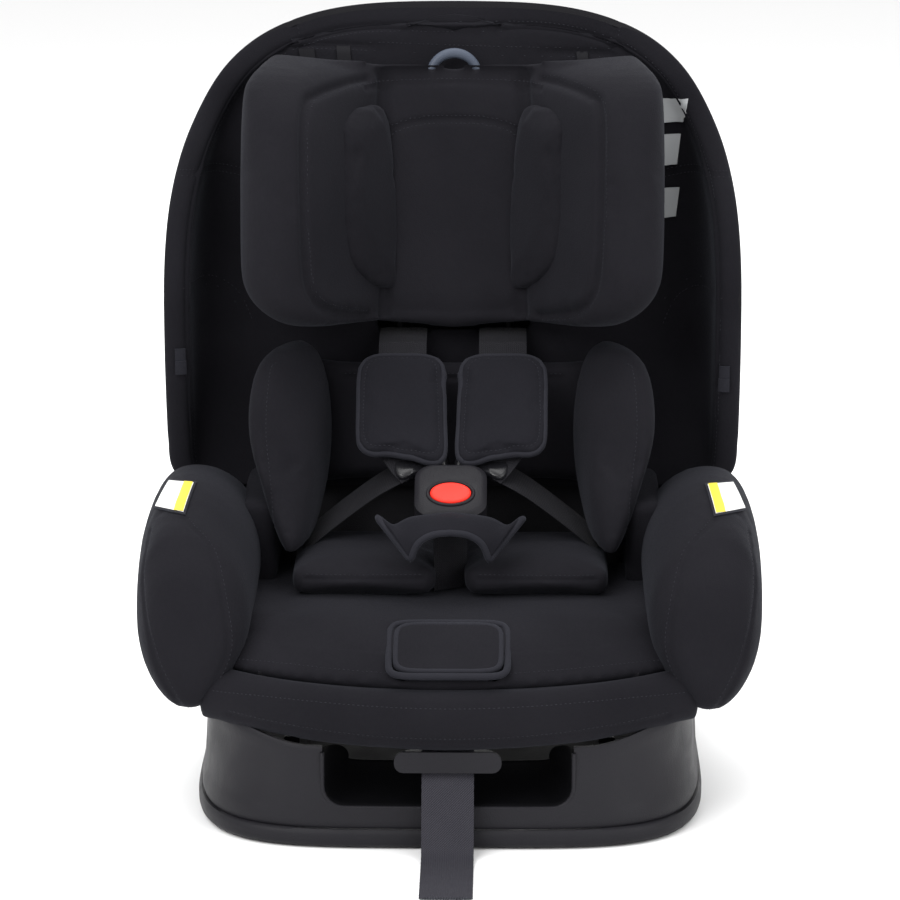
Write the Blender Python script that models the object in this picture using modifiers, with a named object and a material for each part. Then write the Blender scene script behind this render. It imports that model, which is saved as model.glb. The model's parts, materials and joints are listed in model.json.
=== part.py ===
"""Convertible car seat: a padded bucket that slides along an arc on its base to recline.

The child sits facing -Y, +Z is up and the origin is under the base, on the flat that it rests on.
Every length is in metres.
"""

import math

import bmesh
import bpy
from mathutils import Vector

GAP = 0.0003  # between pieces that touch

# Base
BASE_HALF_WIDTH = 0.197
BASE_FRONT = 0.238
BASE_REAR = 0.200
BASE_POWER = 4.5
TRAY_HEIGHT = 0.0145
BASE_HEIGHT = 0.077
BASE_WALL = 0.004
RECESS_HALF_WIDTH = 0.094
RECESS_FLOOR = 0.0306

# Recline: the bucket turns about a line well above the base, on runners that follow an arc.
PIVOT_Y = -0.020
PIVOT_Z = 0.545
ARC_RADIUS = 0.500
RAIL_X = 0.120
RAIL_THICKNESS = 0.012
RAIL_PLAY = 0.0006
SCREW_YS = (-0.12, 0.09)
SCREW_HOLE = 0.0026

# Bucket shell: a flat pan, a round corner and a leaning back
SHELL_WALL = 0.0045
PAN_Z = 0.118
PAN_FRONT = -0.215
PAN_HALF_WIDTH = 0.1385
CORNER_Y = -0.045
CORNER_RADIUS = 0.130
BACK_LEAN = math.radians(15)
BACK_HALF_WIDTH = 0.2235
BACK_TOP = 0.3776
DOME_START = 0.0886
DOME_POWER = 3.35
COVER_THICKNESS = 0.014
CLOSURE = 0.0150  # how far the top's edge stands forward, low enough for the headrest to pass
FRONT_BOW = 0.060 / 0.185**2

# The seat's soft parts
SEAT_TOP = 0.160
FASCIA_HALF_WIDTH = 0.150
BOLSTER_X = 0.193

# Harness
WEB_WIDTH = 0.038
WEB_THICKNESS = 0.0016
STRAP_X = 0.040
ADJUSTER_WEB_WIDTH = 0.039
BUCKLE_CENTRE = (0.0, -0.068, 0.2305)
BUCKLE_TILT = math.radians(32)
PAD_TILT = math.radians(40.3)
FLAP_TILT = math.radians(21)

# Headrest, at the bottom of its travel
HEADREST_BOTTOM = 0.122
HEADREST_TOP = 0.318
ROD_X = 0.045
ROD_RADIUS = 0.004

SIDES = {"left": -1.0, "right": 1.0}


def clear_scene():
    for obj in list(bpy.data.objects):
        bpy.data.objects.remove(obj, do_unlink=True)


def collection(name):
    made = bpy.data.collections.new(name)
    bpy.context.scene.collection.children.link(made)
    return made


def finish(name, color, roughness, metallic=0.0):
    """A Principled material."""
    made = bpy.data.materials.new(name)
    made.use_nodes = True
    shader = made.node_tree.nodes["Principled BSDF"]
    shader.inputs["Base Color"].default_value = (*color, 1.0)
    shader.inputs["Roughness"].default_value = roughness
    shader.inputs["Metallic"].default_value = metallic
    return made


clear_scene()
SEAT = collection("car_seat")
CUTTERS = collection("cutters")
FABRIC = ("black_fabric", (0.020, 0.020, 0.023), 0.90)
PADDING = ("harness_padding", (0.030, 0.030, 0.035), 0.85)
SATIN = ("satin_plastic", (0.025, 0.025, 0.028), 0.40)
SHELL = ("shell_plastic", (0.020, 0.020, 0.022), 0.50)
WEBBING = ("black_webbing", (0.025, 0.025, 0.028), 0.75)
GREY_WEBBING = ("grey_webbing", (0.100, 0.100, 0.110), 0.70)
STEEL = ("zinc_steel", (0.560, 0.570, 0.580), 0.30, 1.0)
RED = ("red_button", (0.800, 0.050, 0.020), 0.35)
BLUE_GREY = ("blue_grey_plastic", (0.060, 0.075, 0.110), 0.40)
RUBBER = ("rubber", (0.015, 0.015, 0.015), 0.80)


def add(name, mesh, look, parent=None, location=(0, 0, 0), rotation=(0, 0, 0)):
    """A named object of the seat with a material of its own."""
    obj = bpy.data.objects.new(name, mesh)
    mesh.materials.clear()
    mesh.materials.append(finish(name, *look[1:]))
    SEAT.objects.link(obj)
    obj.parent = parent
    obj.location = location
    obj.rotation_euler = rotation
    return obj


def as_cutter(obj):
    """Takes an object out of the seat, to cut or join others with."""
    SEAT.objects.unlink(obj)
    CUTTERS.objects.link(obj)
    obj.hide_render = True
    obj.display_type = "WIRE"
    return obj


def combine(obj, other, operation):
    """A Boolean of obj with other, which becomes a cutter."""
    if other.name not in CUTTERS.objects:
        as_cutter(other)
    modifier = obj.modifiers.new(operation.lower(), "BOOLEAN")
    modifier.operation = operation
    modifier.object = other
    return obj


def empty(name, location, rotation, parent=None):
    """A frame that pieces are placed in."""
    obj = bpy.data.objects.new(name, None)
    SEAT.objects.link(obj)
    obj.location = location
    obj.rotation_euler = rotation
    obj.parent = parent
    return obj


def mesh_of(bm, name, smooth_angle=40):
    """Closes a bmesh's making: faces out, smooth where they meet gently."""
    bmesh.ops.recalc_face_normals(bm, faces=bm.faces)
    mesh = bpy.data.meshes.new(name)
    bm.to_mesh(mesh)
    bm.free()
    mesh.shade_smooth()
    mesh.set_sharp_from_angle(angle=math.radians(smooth_angle))
    return mesh


def block(name, size, look, location, rotation=(0, 0, 0), parent=None, round_by=0.0, segments=2):
    """A box with rounded edges."""
    bm = bmesh.new()
    bmesh.ops.create_cube(bm, size=1.0)
    bmesh.ops.scale(bm, vec=size, verts=bm.verts)
    if round_by:
        bmesh.ops.bevel(
            bm, geom=bm.edges[:], offset=round_by, segments=segments, affect="EDGES", profile=0.5
        )
    return add(name, mesh_of(bm, name), look, parent, location, rotation)


def slab(name, size, corner, look, location, rotation=(0, 0, 0), parent=None, edge=0.0):
    """A flat plate whose upright corners are round, with softer top and bottom edges."""
    bm = bmesh.new()
    bmesh.ops.create_cube(bm, size=1.0)
    bmesh.ops.scale(bm, vec=size, verts=bm.verts)
    upright = [e for e in bm.edges if abs(e.verts[0].co.z - e.verts[1].co.z) > 0.5 * size[2]]
    bmesh.ops.bevel(bm, geom=upright, offset=corner, segments=4, affect="EDGES", profile=0.5)
    if edge:
        flat = [f for f in bm.faces if abs(f.normal.z) > 0.9]
        rims = {e for f in flat for e in f.edges}
        bmesh.ops.bevel(bm, geom=list(rims), offset=edge, segments=2, affect="EDGES", profile=0.5)
    return add(name, mesh_of(bm, name), look, parent, location, rotation)


def cylinder(name, radius, length, look, location, rotation=(0, 0, 0), parent=None, sides=20):
    """A round bar along its own Z."""
    bm = bmesh.new()
    bmesh.ops.create_cone(
        bm, cap_ends=True, segments=sides, radius1=radius, radius2=radius, depth=length
    )
    return add(name, mesh_of(bm, name), look, parent, location, rotation)


def loft(name, rings, look, parent=None):
    """A closed solid through rings of equal point counts, capped at both ends."""
    bm = bmesh.new()
    rows = [[bm.verts.new(point) for point in ring] for ring in rings]
    count = len(rows[0])
    for lower, upper in zip(rows, rows[1:]):
        for i in range(count):
            j = (i + 1) % count
            bm.faces.new((lower[i], lower[j], upper[j], upper[i]))
    bm.faces.new(rows[0])
    bm.faces.new(rows[-1])
    return add(name, mesh_of(bm, name), look, parent)


def oval(half_a, half_b, sides, power=2.0):
    """Points of a superellipse."""
    points = []
    for i in range(sides):
        turn = 2 * math.pi * (i + 0.5) / sides
        c = math.cos(turn)
        s = math.sin(turn)
        a = half_a * math.copysign(abs(c) ** (2 / power), c)
        b = half_b * math.copysign(abs(s) ** (2 / power), s)
        points.append((a, b))
    return points


def outline_plate(name, points, thickness, look, location, rotation=(0, 0, 0), parent=None):
    """A plate of any outline: a filled 2D curve with depth, made into a mesh."""
    curve = bpy.data.curves.new(name, "CURVE")
    curve.dimensions = "2D"
    curve.fill_mode = "BOTH"
    curve.extrude = thickness / 2
    spline = curve.splines.new("POLY")
    spline.points.add(len(points) - 1)
    for spot, point in zip(spline.points, points):
        spot.co = (*point, 0.0, 1.0)
    spline.use_cyclic_u = True
    source = bpy.data.objects.new(name + "_outline", curve)
    SEAT.objects.link(source)
    graph = bpy.context.evaluated_depsgraph_get()
    mesh = bpy.data.meshes.new_from_object(source.evaluated_get(graph))
    bpy.data.objects.remove(source, do_unlink=True)
    bm = bmesh.new()
    bm.from_mesh(mesh)
    bmesh.ops.remove_doubles(bm, verts=bm.verts, dist=0.00001)
    return add(name, mesh_of(bm, name), look, parent, location, rotation)


UPRIGHT = (math.pi / 2, 0, math.pi / 2)  # turns an outline of (y, z) points to stand across X


def ribbon(name, points, widths, width, look, parent=None, thickness=WEB_THICKNESS):
    """Flat webbing through points; widths are the directions across it."""
    rings = []
    for i, point in enumerate(points):
        before = Vector(points[max(i - 1, 0)])
        after = Vector(points[min(i + 1, len(points) - 1)])
        along = (after - before).normalized()
        across = Vector(widths[i] if len(widths) > 1 else widths[0])
        across = (across - along * across.dot(along)).normalized()
        up = along.cross(across).normalized()
        corners = ((-1, -1), (1, -1), (1, 1), (-1, 1))
        ring = []
        for a, b in corners:
            ring.append(Vector(point) + across * a * width / 2 + up * b * thickness / 2)
        rings.append(ring)
    return loft(name, rings, look, parent)


def wire(name, points, radius, look, parent=None):
    """A bent round bar."""
    curve = bpy.data.curves.new(name, "CURVE")
    curve.dimensions = "3D"
    curve.bevel_depth = radius
    curve.bevel_resolution = 2
    curve.use_fill_caps = True
    spline = curve.splines.new("POLY")
    spline.points.add(len(points) - 1)
    for spot, point in zip(spline.points, points):
        spot.co = (*point, 1.0)
    obj = bpy.data.objects.new(name, curve)
    curve.materials.append(finish(name, *look[1:]))
    SEAT.objects.link(obj)
    obj.parent = parent
    return obj


# The base


def base_outline(scale, count=56):
    """The base's plan: bowed at the front, rounder behind."""
    points = []
    for x, y in oval(BASE_HALF_WIDTH * scale, 1.0, count, BASE_POWER):
        length = BASE_FRONT if y < 0 else BASE_REAR
        points.append((x, y * length * scale))
    return points


def base_tray():
    levels = ((0.0, 0.985), (0.003, 1.0), (TRAY_HEIGHT - 0.002, 1.0), (TRAY_HEIGHT, 0.992))
    tray = loft(
        "base_tray",
        [
            [(x, y, z) for x, y in base_outline(scale)]
            for z, scale in levels
        ],
        SATIN,
    )
    for i, (x, y) in enumerate(foot_places()):
        pocket = slab(f"foot_pocket_{i}", (0.0406, 0.0246, 0.006), 0.008, RUBBER, (x, y, 0.0))
        combine(tray, pocket, "DIFFERENCE")
    return tray


def foot_places():
    return [(side * 0.135, y) for side in (-1, 1) for y in (-0.165, 0.13)]


def foot_pads():
    for i, (x, y) in enumerate(foot_places(), start=1):
        slab(f"foot_pad_{i}", (0.040, 0.024, 0.0027), 0.0077, RUBBER, (x, y, 0.00135))


def base_shell():
    """The upper wall of the base, open above, with a way in at the front for the lever."""
    bm = bmesh.new()
    rows = []
    for z, scale in ((TRAY_HEIGHT + GAP, 0.985), (0.040, 0.978), (BASE_HEIGHT, 0.968)):
        rows.append([bm.verts.new((x, y, z)) for x, y in base_outline(scale)])
    for lower, upper in zip(rows, rows[1:]):
        for i in range(len(lower)):
            j = (i + 1) % len(lower)
            bm.faces.new((lower[i], lower[j], upper[j], upper[i]))
    wall = add("base_shell", mesh_of(bm, "base_shell"), SATIN)
    solid = wall.modifiers.new("wall", "SOLIDIFY")
    solid.thickness = BASE_WALL
    solid.offset = -1
    way_in = slab(
        "recess_cutter",
        (2 * RECESS_HALF_WIDTH, 0.10, 0.10),
        0.022,
        SATIN,
        (0, -0.22, RECESS_FLOOR + 0.05),
        (math.pi / 2, 0, 0),
    )
    combine(wall, way_in, "DIFFERENCE")
    # The walls step down behind, where the bucket's back comes low as it reclines.
    rear = block("rear_cutter", (0.42, 0.26, 0.05), SATIN, (0, 0.14, 0.055 + 0.025))
    combine(wall, rear, "DIFFERENCE")
    return wall


def arc_point(y, radius):
    """The height of the recline arc at y."""
    return PIVOT_Z - math.sqrt(radius**2 - (y - PIVOT_Y) ** 2)


def arc_points(start, end, radius, steps):
    ys = [start + (end - start) * i / steps for i in range(steps + 1)]
    return [(y, arc_point(y, radius)) for y in ys]


def rails():
    """The arcs that the bucket slides along, with the lock's rack between them."""
    floor = TRAY_HEIGHT + GAP
    top = arc_points(-0.165, 0.135, ARC_RADIUS + RAIL_PLAY, 14)
    outline = [(-0.165, floor), *top, (0.135, floor)]
    for name, side in SIDES.items():
        rail = outline_plate(
            f"base_rail_{name}", outline, RAIL_THICKNESS, SATIN, (side * RAIL_X, 0, 0), UPRIGHT
        )
        for i, y in enumerate(SCREW_YS):
            place = (side * RAIL_X, y, 0.012)
            hole = cylinder(f"rail_hole_{name}_{i}", SCREW_HOLE, 0.03, STEEL, place, sides=16)
            combine(rail, hole, "DIFFERENCE")


def rack():
    """A toothed arc that the recline lock's bolt drops into."""
    floor = TRAY_HEIGHT + GAP
    tip = ARC_RADIUS + 0.0010
    root = tip + 0.006
    corners = [(-14.5, tip)]
    for start in (-13.0, -7.0, -1.0):
        # Each notch is two degrees wide, with a flat land after it.
        corners += [(start, tip), (start, root), (start + 2.0, root), (start + 2.0, tip)]
        corners.append((start + 4.5, tip))
    points = [(-0.150, floor)]
    for degrees, radius in corners:
        turn = math.radians(degrees)
        points.append((PIVOT_Y + radius * math.sin(turn), PIVOT_Z - radius * math.cos(turn)))
    points.append((points[-1][0], floor))
    outline_plate("recline_rack", points, 0.010, STEEL, (0, 0, 0), UPRIGHT)


def rail_screws(tray):
    number = 0
    for side in SIDES.values():
        for y in SCREW_YS:
            number += 1
            x = side * RAIL_X
            hole = cylinder(f"tray_hole_{number}", SCREW_HOLE, 0.05, STEEL, (x, y, 0.0), sides=16)
            seat = cylinder(f"tray_seat_{number}", 0.0056, 0.010, STEEL, (x, y, 0.0), sides=16)
            combine(tray, hole, "DIFFERENCE")
            combine(tray, seat, "DIFFERENCE")
            screw = cylinder(f"rail_screw_{number}", 0.0022, 0.020, STEEL, (x, y, 0.0145), sides=12)
            head = cylinder(f"screw_head_{number}", 0.0052, 0.0035, STEEL, (x, y, 0.0029), sides=12)
            combine(screw, head, "UNION")


# The bucket


def bucket_rows():
    """Stations from the pan's front to the top of the back: (y, z, inward y, inward z, width, wall)."""
    rows = []
    for y, wall in ((PAN_FRONT, 0.008), (-0.150, 0.033), (-0.100, 0.035), (CORNER_Y, 0.035)):
        rows.append((y, PAN_Z, 0.0, 1.0, PAN_HALF_WIDTH, wall))
    corner = ((25, 0.1385, 0.035), (50, 0.144, 0.030), (64, 0.190, 0.026))
    centre_z = PAN_Z + CORNER_RADIUS
    for degrees, width, wall in corner:
        turn = math.radians(degrees)
        y = CORNER_Y + CORNER_RADIUS * math.sin(turn)
        z = centre_z - CORNER_RADIUS * math.cos(turn)
        rows.append((y, z, -math.sin(turn), math.cos(turn), width, wall))
    return rows + back_rows()


def back_point(s, d):
    """World (y, z) of a place s up the back and d in front of the shell."""
    turn = math.pi / 2 - BACK_LEAN
    y0 = CORNER_Y + CORNER_RADIUS * math.sin(turn)
    z0 = PAN_Z + CORNER_RADIUS * (1 - math.cos(turn))
    sin = math.sin(BACK_LEAN)
    cos = math.cos(BACK_LEAN)
    return y0 + s * sin - d * cos, z0 + s * cos + d * sin


def back_width(s):
    """Half the back's width: straight sides that turn into a dome."""
    rise = max(0.0, (s - DOME_START) / (BACK_TOP - DOME_START))
    return BACK_HALF_WIDTH * max(0.0, 1 - rise**DOME_POWER) ** (1 / DOME_POWER)


def back_rows():
    stations = (
        (0.000, 0.219, 0.030),
        (0.030, 0.2235, 0.042),
        (0.060, None, 0.062),
        (0.100, None, 0.082),
        (0.145, None, 0.098),
        (0.200, None, 0.092),
        (0.250, None, 0.062),
        (0.290, None, 0.0335),
        (0.325, None, 0.0285),
        (0.349, None, 0.0220),
        (0.365, None, CLOSURE),
        (0.3745, None, CLOSURE),
    )
    rows = []
    for s, width, wall in stations:
        y, z = back_point(s, 0.0)
        inward = (-math.cos(BACK_LEAN), math.sin(BACK_LEAN))
        rows.append((y, z, *inward, width or back_width(s), wall))
    return rows


ACROSS = ((0.0, 0.0), (0.35, 0.0), (0.70, 0.0), (0.86, 0.06), (0.95, 0.24), (0.985, 0.58), (1.0, 1.0))


def bucket_surface(name, rows, inset, look, first_bow=False, closed_top=False):
    """An open channel that follows rows; its faces look at the child."""
    columns = [(-x, rise) for x, rise in reversed(ACROSS[1:])] + list(ACROSS)
    grid = []
    for index, (y, z, in_y, in_z, width, wall) in enumerate(rows):
        row = []
        for across, rise in columns:
            x = across * (width - inset)
            height = inset + rise * (wall - inset)
            bow = FRONT_BOW * x * x if first_bow and index == 0 else 0.0
            row.append((x, y + in_y * height + bow, z + in_z * height))
        grid.append(row)
    # The shell's top closes forward over the lining's edge.
    y, z, in_y, in_z, width, wall = rows[-1]
    sin = math.sin(BACK_LEAN)
    cos = math.cos(BACK_LEAN)
    closing = ((0.0020, 0.35), (0.0031 - inset, 1.0)) if closed_top else ()
    for lift, least in closing:
        row = []
        for across, rise in columns:
            height = inset + max(rise, least) * (wall - inset)
            place_y = y + lift * sin + in_y * height
            place_z = z + lift * cos + in_z * height
            row.append((across * (width - inset), place_y, place_z))
        grid.append(row)
    bm = bmesh.new()
    verts = [[bm.verts.new(point) for point in row] for row in grid]
    for lower, upper in zip(verts, verts[1:]):
        for i in range(len(lower) - 1):
            bm.faces.new((lower[i], lower[i + 1], upper[i + 1], upper[i]))
    mesh = bpy.data.meshes.new(name)
    bm.to_mesh(mesh)
    bm.free()
    mesh.shade_smooth()
    return add(name, mesh, look)


def thicken(obj, thickness, offset):
    solid = obj.modifiers.new("wall", "SOLIDIFY")
    solid.thickness = thickness
    solid.offset = offset
    solid.use_even_offset = True
    return obj


def seat_shell():
    shell = bucket_surface("seat_shell", bucket_rows(), 0.0, SHELL, first_bow=True, closed_top=True)
    thicken(shell, SHELL_WALL, -1)
    return combine(shell, carriage_window("shell_window"), "DIFFERENCE")


def back_cover():
    """The padded lining of the back."""
    cover = bucket_surface("back_cover", bucket_rows()[6:], 0.0006, FABRIC)
    thicken(cover, COVER_THICKNESS, 1)
    return combine(cover, carriage_window("cover_window"), "DIFFERENCE")


def carriage_window(name):
    """The way that the headrest's carriage and the shoulder straps take through the back."""
    y, z = back_point(0.2, 0.0)
    size = (0.124, 0.10, 0.168)
    return block(name, size, SHELL, (0, y, z), (-BACK_LEAN, 0, 0))


def runners():
    """Skids under the pan that ride on the base's rails."""
    top = PAN_Z - SHELL_WALL - GAP
    arc = arc_points(-0.130, 0.012, ARC_RADIUS, 10)
    outline = [(-0.130, top), *arc, (0.012, top)]
    for name, side in SIDES.items():
        outline_plate(
            f"runner_{name}", outline, RAIL_THICKNESS - 0.001, SHELL, (side * RAIL_X, 0, 0), UPRIGHT
        )


# The soft parts of the seat


def seat_cushion():
    """The pad that the child sits on, joined to the cover's front that hangs over the shell's edge."""
    lip = [
        (-0.235, 0.1300),
        (-0.250, 0.1140),
        (-0.2535, 0.0980),
        (-0.2470, 0.0830),
        (-0.2370, 0.0775),
        (-0.2300, 0.0810),
        (-0.2275, 0.1000),
        (-0.2265, 0.1140),
    ]
    pad = [
        (-0.2190, 0.1190),
        (-0.170, PAN_Z + 0.0010),
        (-0.060, PAN_Z + 0.0010),
        (-0.015, 0.1260),
        (0.0150, 0.1380),
        (0.0290, 0.1500),
        (0.0300, SEAT_TOP),
        (-0.040, SEAT_TOP),
        (-0.110, SEAT_TOP),
        (-0.165, 0.1570),
        (-0.205, 0.1450),
    ]
    # Stations across the seat, with how far the channel's round corner lifts the pad's underside.
    stations = ((0.0, 0.0), (0.060, 0.0), (0.116, 0.0026), (0.130, 0.0110), (0.1362, 0.0260))
    mirrored = [(-x, lift) for x, lift in reversed(stations[1:])]
    rings = []
    for x, lift in (*mirrored, *stations):
        bow = FRONT_BOW * x * x
        ring = [(x, y + bow, z) for y, z in lip]
        ring += [(x, y + bow, z + min(lift, 0.009)) for y, z in pad[:1]]
        ring += [(x, y, z + lift) for y, z in pad[1:3]]
        ring += [(x, y - 0.9 * lift, min(z + lift, SEAT_TOP - 0.003)) for y, z in pad[3:6]]
        ring += [(x, y - 0.9 * lift, z) for y, z in pad[6:7]]
        ring += [(x, y, z) for y, z in pad[7:-1]]
        ring.append((x, pad[-1][0] + 0.6 * bow, pad[-1][1]))
        rings.append(ring)
    cushion = loft("seat_cushion", rings, FABRIC)
    ends = []
    for i in range(-4, 5):
        x = FASCIA_HALF_WIDTH * i / 4
        bow = FRONT_BOW * x * x
        ends.append([(x, y + bow, min(z, 0.126)) for y, z in lip])
    return combine(cushion, loft("fascia_ends", ends, FABRIC), "UNION")


def bolsters():
    """The padded arms beside the seat."""
    sections = (
        (-0.209, 0.150, 0.016, 0.024),
        (-0.200, 0.150, 0.034, 0.050),
        (-0.165, 0.165, 0.0455, 0.070),
        (-0.100, 0.180, 0.0465, 0.078),
        (-0.035, 0.188, 0.0460, 0.074),
        (0.010, 0.196, 0.0420, 0.060),
        (0.034, 0.204, 0.0280, 0.040),
    )
    for name, side in SIDES.items():
        rings = []
        for y, z, half_x, half_z in sections:
            rings.append([(side * BOLSTER_X + a, y, z + b) for a, b in oval(half_x, half_z, 20)])
        loft(f"bolster_{name}", rings, FABRIC)


def body_insert():
    """The infant insert: a back pad, two wings and two lobes to sit on."""
    y, z = back_point(0.036, 0.0265)
    block("insert_back", (0.190, 0.020, 0.092), FABRIC, (0, y, z), (-BACK_LEAN, 0, 0), None, 0.008)
    wing = (
        (0.1868, 0.1150, -0.004, 0.1240, -0.082, 0.009),
        (0.2000, 0.1130, 0.020, 0.1270, -0.082, 0.014),
        (0.2350, 0.1080, 0.046, 0.1370, -0.062, 0.020),
        (0.2700, 0.1070, 0.056, 0.1480, -0.040, 0.024),
        (0.3000, 0.1090, 0.064, 0.1500, -0.022, 0.022),
        (0.3200, 0.1140, 0.066, 0.1460, -0.005, 0.017),
        (0.3320, 0.1220, 0.058, 0.1370, 0.015, 0.008),
    )
    lobe = (0.114, 0.128, 0.0255)
    for name, side in SIDES.items():
        rings = []
        for z, rear_x, rear_y, front_x, front_y, half in wing:
            rear = Vector((rear_x, rear_y))
            front = Vector((front_x, front_y))
            middle = (rear + front) / 2
            along = (front - rear).normalized()
            across = Vector((-along.y, along.x))
            ring = []
            for a, b in oval((front - rear).length / 2, half, 16, 2.4):
                place = middle + along * a + across * b
                ring.append((side * place.x, place.y, z))
            rings.append(ring)
        loft(f"insert_wing_{name}", rings, FABRIC)
        place = (side * 0.0665, -0.050, SEAT_TOP + GAP + lobe[2] / 2)
        block(f"insert_lobe_{name}", lobe, FABRIC, place, round_by=0.009)


# The harness


def shoulder_straps():
    points = [(0.0960, 0.3310), (0.0760, 0.3300), (0.0560, 0.3265), (0.0500, 0.3225), (-0.0221, 0.2615)]
    for name, side in SIDES.items():
        path = [(side * STRAP_X, y, z) for y, z in points]
        ribbon(f"shoulder_strap_{name}", path, [(1, 0, 0)], WEB_WIDTH, WEBBING)


def shoulder_pads():
    """Each pad lies on its strap."""
    lift = WEB_THICKNESS / 2 + GAP + 0.0065
    middle = Vector((0, 0.0075, 0.2865)) + lift * Vector((0, -math.sin(PAD_TILT), math.cos(PAD_TILT)))
    for name, side in SIDES.items():
        place = (side * STRAP_X, middle.y, middle.z)
        size = (0.070, 0.112, 0.013)
        slab(f"shoulder_pad_{name}", size, 0.018, PADDING, place, (PAD_TILT, 0, 0), edge=0.004)


def lap_straps():
    points = (
        (0.036, -0.0290, 0.2430),
        (0.060, -0.0250, 0.2280),
        (0.080, -0.0210, 0.2110),
        (0.094, -0.0180, 0.1970),
    )
    for name, side in SIDES.items():
        path = [(side * x, y, z) for x, y, z in points]
        ribbon(f"lap_strap_{name}", path, [(0, 0.8, 0.25)], 0.026, WEBBING)


def buckle(frame):
    """The housing takes both tongues from behind; the button sits in its face."""
    housing = slab(
        "buckle_housing", (0.056, 0.056, 0.022), 0.014, SATIN, (0, 0, 0), parent=frame, edge=0.004
    )
    well = add("button_well", oval_bar(0.0163, 0.0113, 0.020), RED, frame, (0, -0.006, 0.0115))
    combine(housing, well, "DIFFERENCE")
    for name, side in SIDES.items():
        place = (side * 0.0125, 0.0215, -0.004)
        slot = block(f"tongue_slot_{name}", (0.0195, 0.030, 0.0042), SATIN, place, parent=frame)
        combine(housing, slot, "DIFFERENCE")
    add("buckle_button", oval_bar(0.016, 0.011, 0.0060), RED, frame, (0, -0.006, 0.0085))


def oval_bar(half_x, half_y, height, sides=28):
    """An upright bar of oval section, centred on its origin."""
    bm = bmesh.new()
    bmesh.ops.create_cone(bm, cap_ends=True, segments=sides, radius1=1, radius2=1, depth=height)
    bmesh.ops.scale(bm, vec=(half_x, half_y, 1), verts=bm.verts)
    return mesh_of(bm, "oval_bar")


def tongues(frame):
    """Each strap end's tongue, latched in the buckle."""
    for name, side in SIDES.items():
        grip_place = (side * 0.0185, 0.0390, -0.0040)
        tip_place = (side * 0.0125, 0.0235, -0.0041)
        grip_size = (0.027, 0.020, 0.008)
        tongue = block(f"tongue_{name}", grip_size, SATIN, grip_place, parent=frame, round_by=0.002)
        tip = block(f"tongue_tip_{name}", (0.018, 0.027, 0.0028), STEEL, tip_place, parent=frame)
        combine(tongue, tip, "UNION")


def crotch():
    """The strap from the pan up to the buckle, and the pad that it comes through."""
    path = [(0, -0.083, SEAT_TOP + 0.0010), (0, -0.083, 0.180), (0, -0.079, 0.201)]
    ribbon("crotch_strap", path, [(0, 1, 0)], 0.026, WEBBING, thickness=0.002)
    rows = []
    for y in (-0.1265, -0.1180, -0.1080, -0.0985):
        row = []
        for i in range(13):
            turn = math.pi * (i / 12)
            row.append((-0.047 * math.cos(turn), y, 0.1880 + 0.0340 * math.sin(turn) ** 0.8))
        rows.append(row)
    bm = bmesh.new()
    verts = [[bm.verts.new(point) for point in row] for row in rows]
    for lower, upper in zip(verts, verts[1:]):
        for i in range(12):
            bm.faces.new((lower[i], lower[i + 1], upper[i + 1], upper[i]))
    mesh = bpy.data.meshes.new("crotch_pad")
    bm.to_mesh(mesh)
    bm.free()
    thicken(add("crotch_pad", mesh, PADDING), 0.007, -1)


# The harness adjuster under its flap


def adjuster(cushion):
    frame = empty("flap_frame", (0, -0.2030, 0.1445), (FLAP_TILT, 0, 0))
    pocket = block("flap_pocket", (0.086, 0.064, 0.070), FABRIC, (0, 0, -0.018), parent=frame)
    combine(cushion, pocket, "DIFFERENCE")
    housing = block("adjuster_housing", (0.052, 0.030, 0.014), STEEL, (0, -0.1870, 0.1265))
    channel = block("adjuster_channel", (0.0424, 0.040, 0.0115), STEEL, (0, -0.1870, 0.1300))
    combine(housing, channel, "DIFFERENCE")
    block("adjuster_lever", (0.036, 0.024, 0.0022), STEEL, (0, -0.1900, 0.1372), round_by=0.0008)
    slab("adjuster_flap", (0.080, 0.060, 0.0050), 0.010, FABRIC, (0, 0, 0.0025), parent=frame, edge=0.001)
    slab("recline_plate", (0.080, 0.0160, 0.0030), 0.0070, SATIN, (0, -0.2400, 0.0690), (math.pi / 2, 0, 0))


def adjuster_strap():
    """The free end that tightens the harness: through the front, down to the floor and along it."""
    route = [
        (-0.1960, 0.1285),
        (-0.2060, 0.1280),
        (-0.2150, 0.1235),
        (-0.2200, 0.1120),
        (-0.2210, 0.0980),
        (-0.2230, 0.0830),
        (-0.2285, 0.0700),
        (-0.2360, 0.0570),
        (-0.2430, 0.0430),
        (-0.2490, 0.0290),
        (-0.2550, 0.0160),
        (-0.2620, 0.0060),
        (-0.2740, 0.0020),
        (-0.2950, 0.0012),
        (-0.3200, 0.0010),
        (-0.3500, 0.0010),
    ]
    path = [(0, y, z) for y, z in route]
    ribbon("adjuster_strap", path, [(1, 0, 0)], ADJUSTER_WEB_WIDTH, GREY_WEBBING)


# The recline lever


def recline_lever():
    """Squeezed up from the front, it lifts the bolt off the rack."""
    handle = slab("recline_handle", (0.070, 0.022, 0.010), 0.008, SATIN, (0, -0.196, 0.058), edge=0.003)
    stem = block("handle_stem", (0.020, 0.160, 0.006), SATIN, (0, -0.110, 0.066))
    riser = block("handle_riser", (0.020, 0.010, 0.016), SATIN, (0, -0.186, 0.0625))
    combine(handle, riser, "UNION")
    combine(handle, stem, "UNION")
    block("recline_bolt", (0.018, 0.012, 0.0170), STEEL, (0, PIVOT_Y, 0.0540), round_by=0.002)


# The back: rods, carriage and rear panel


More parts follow.
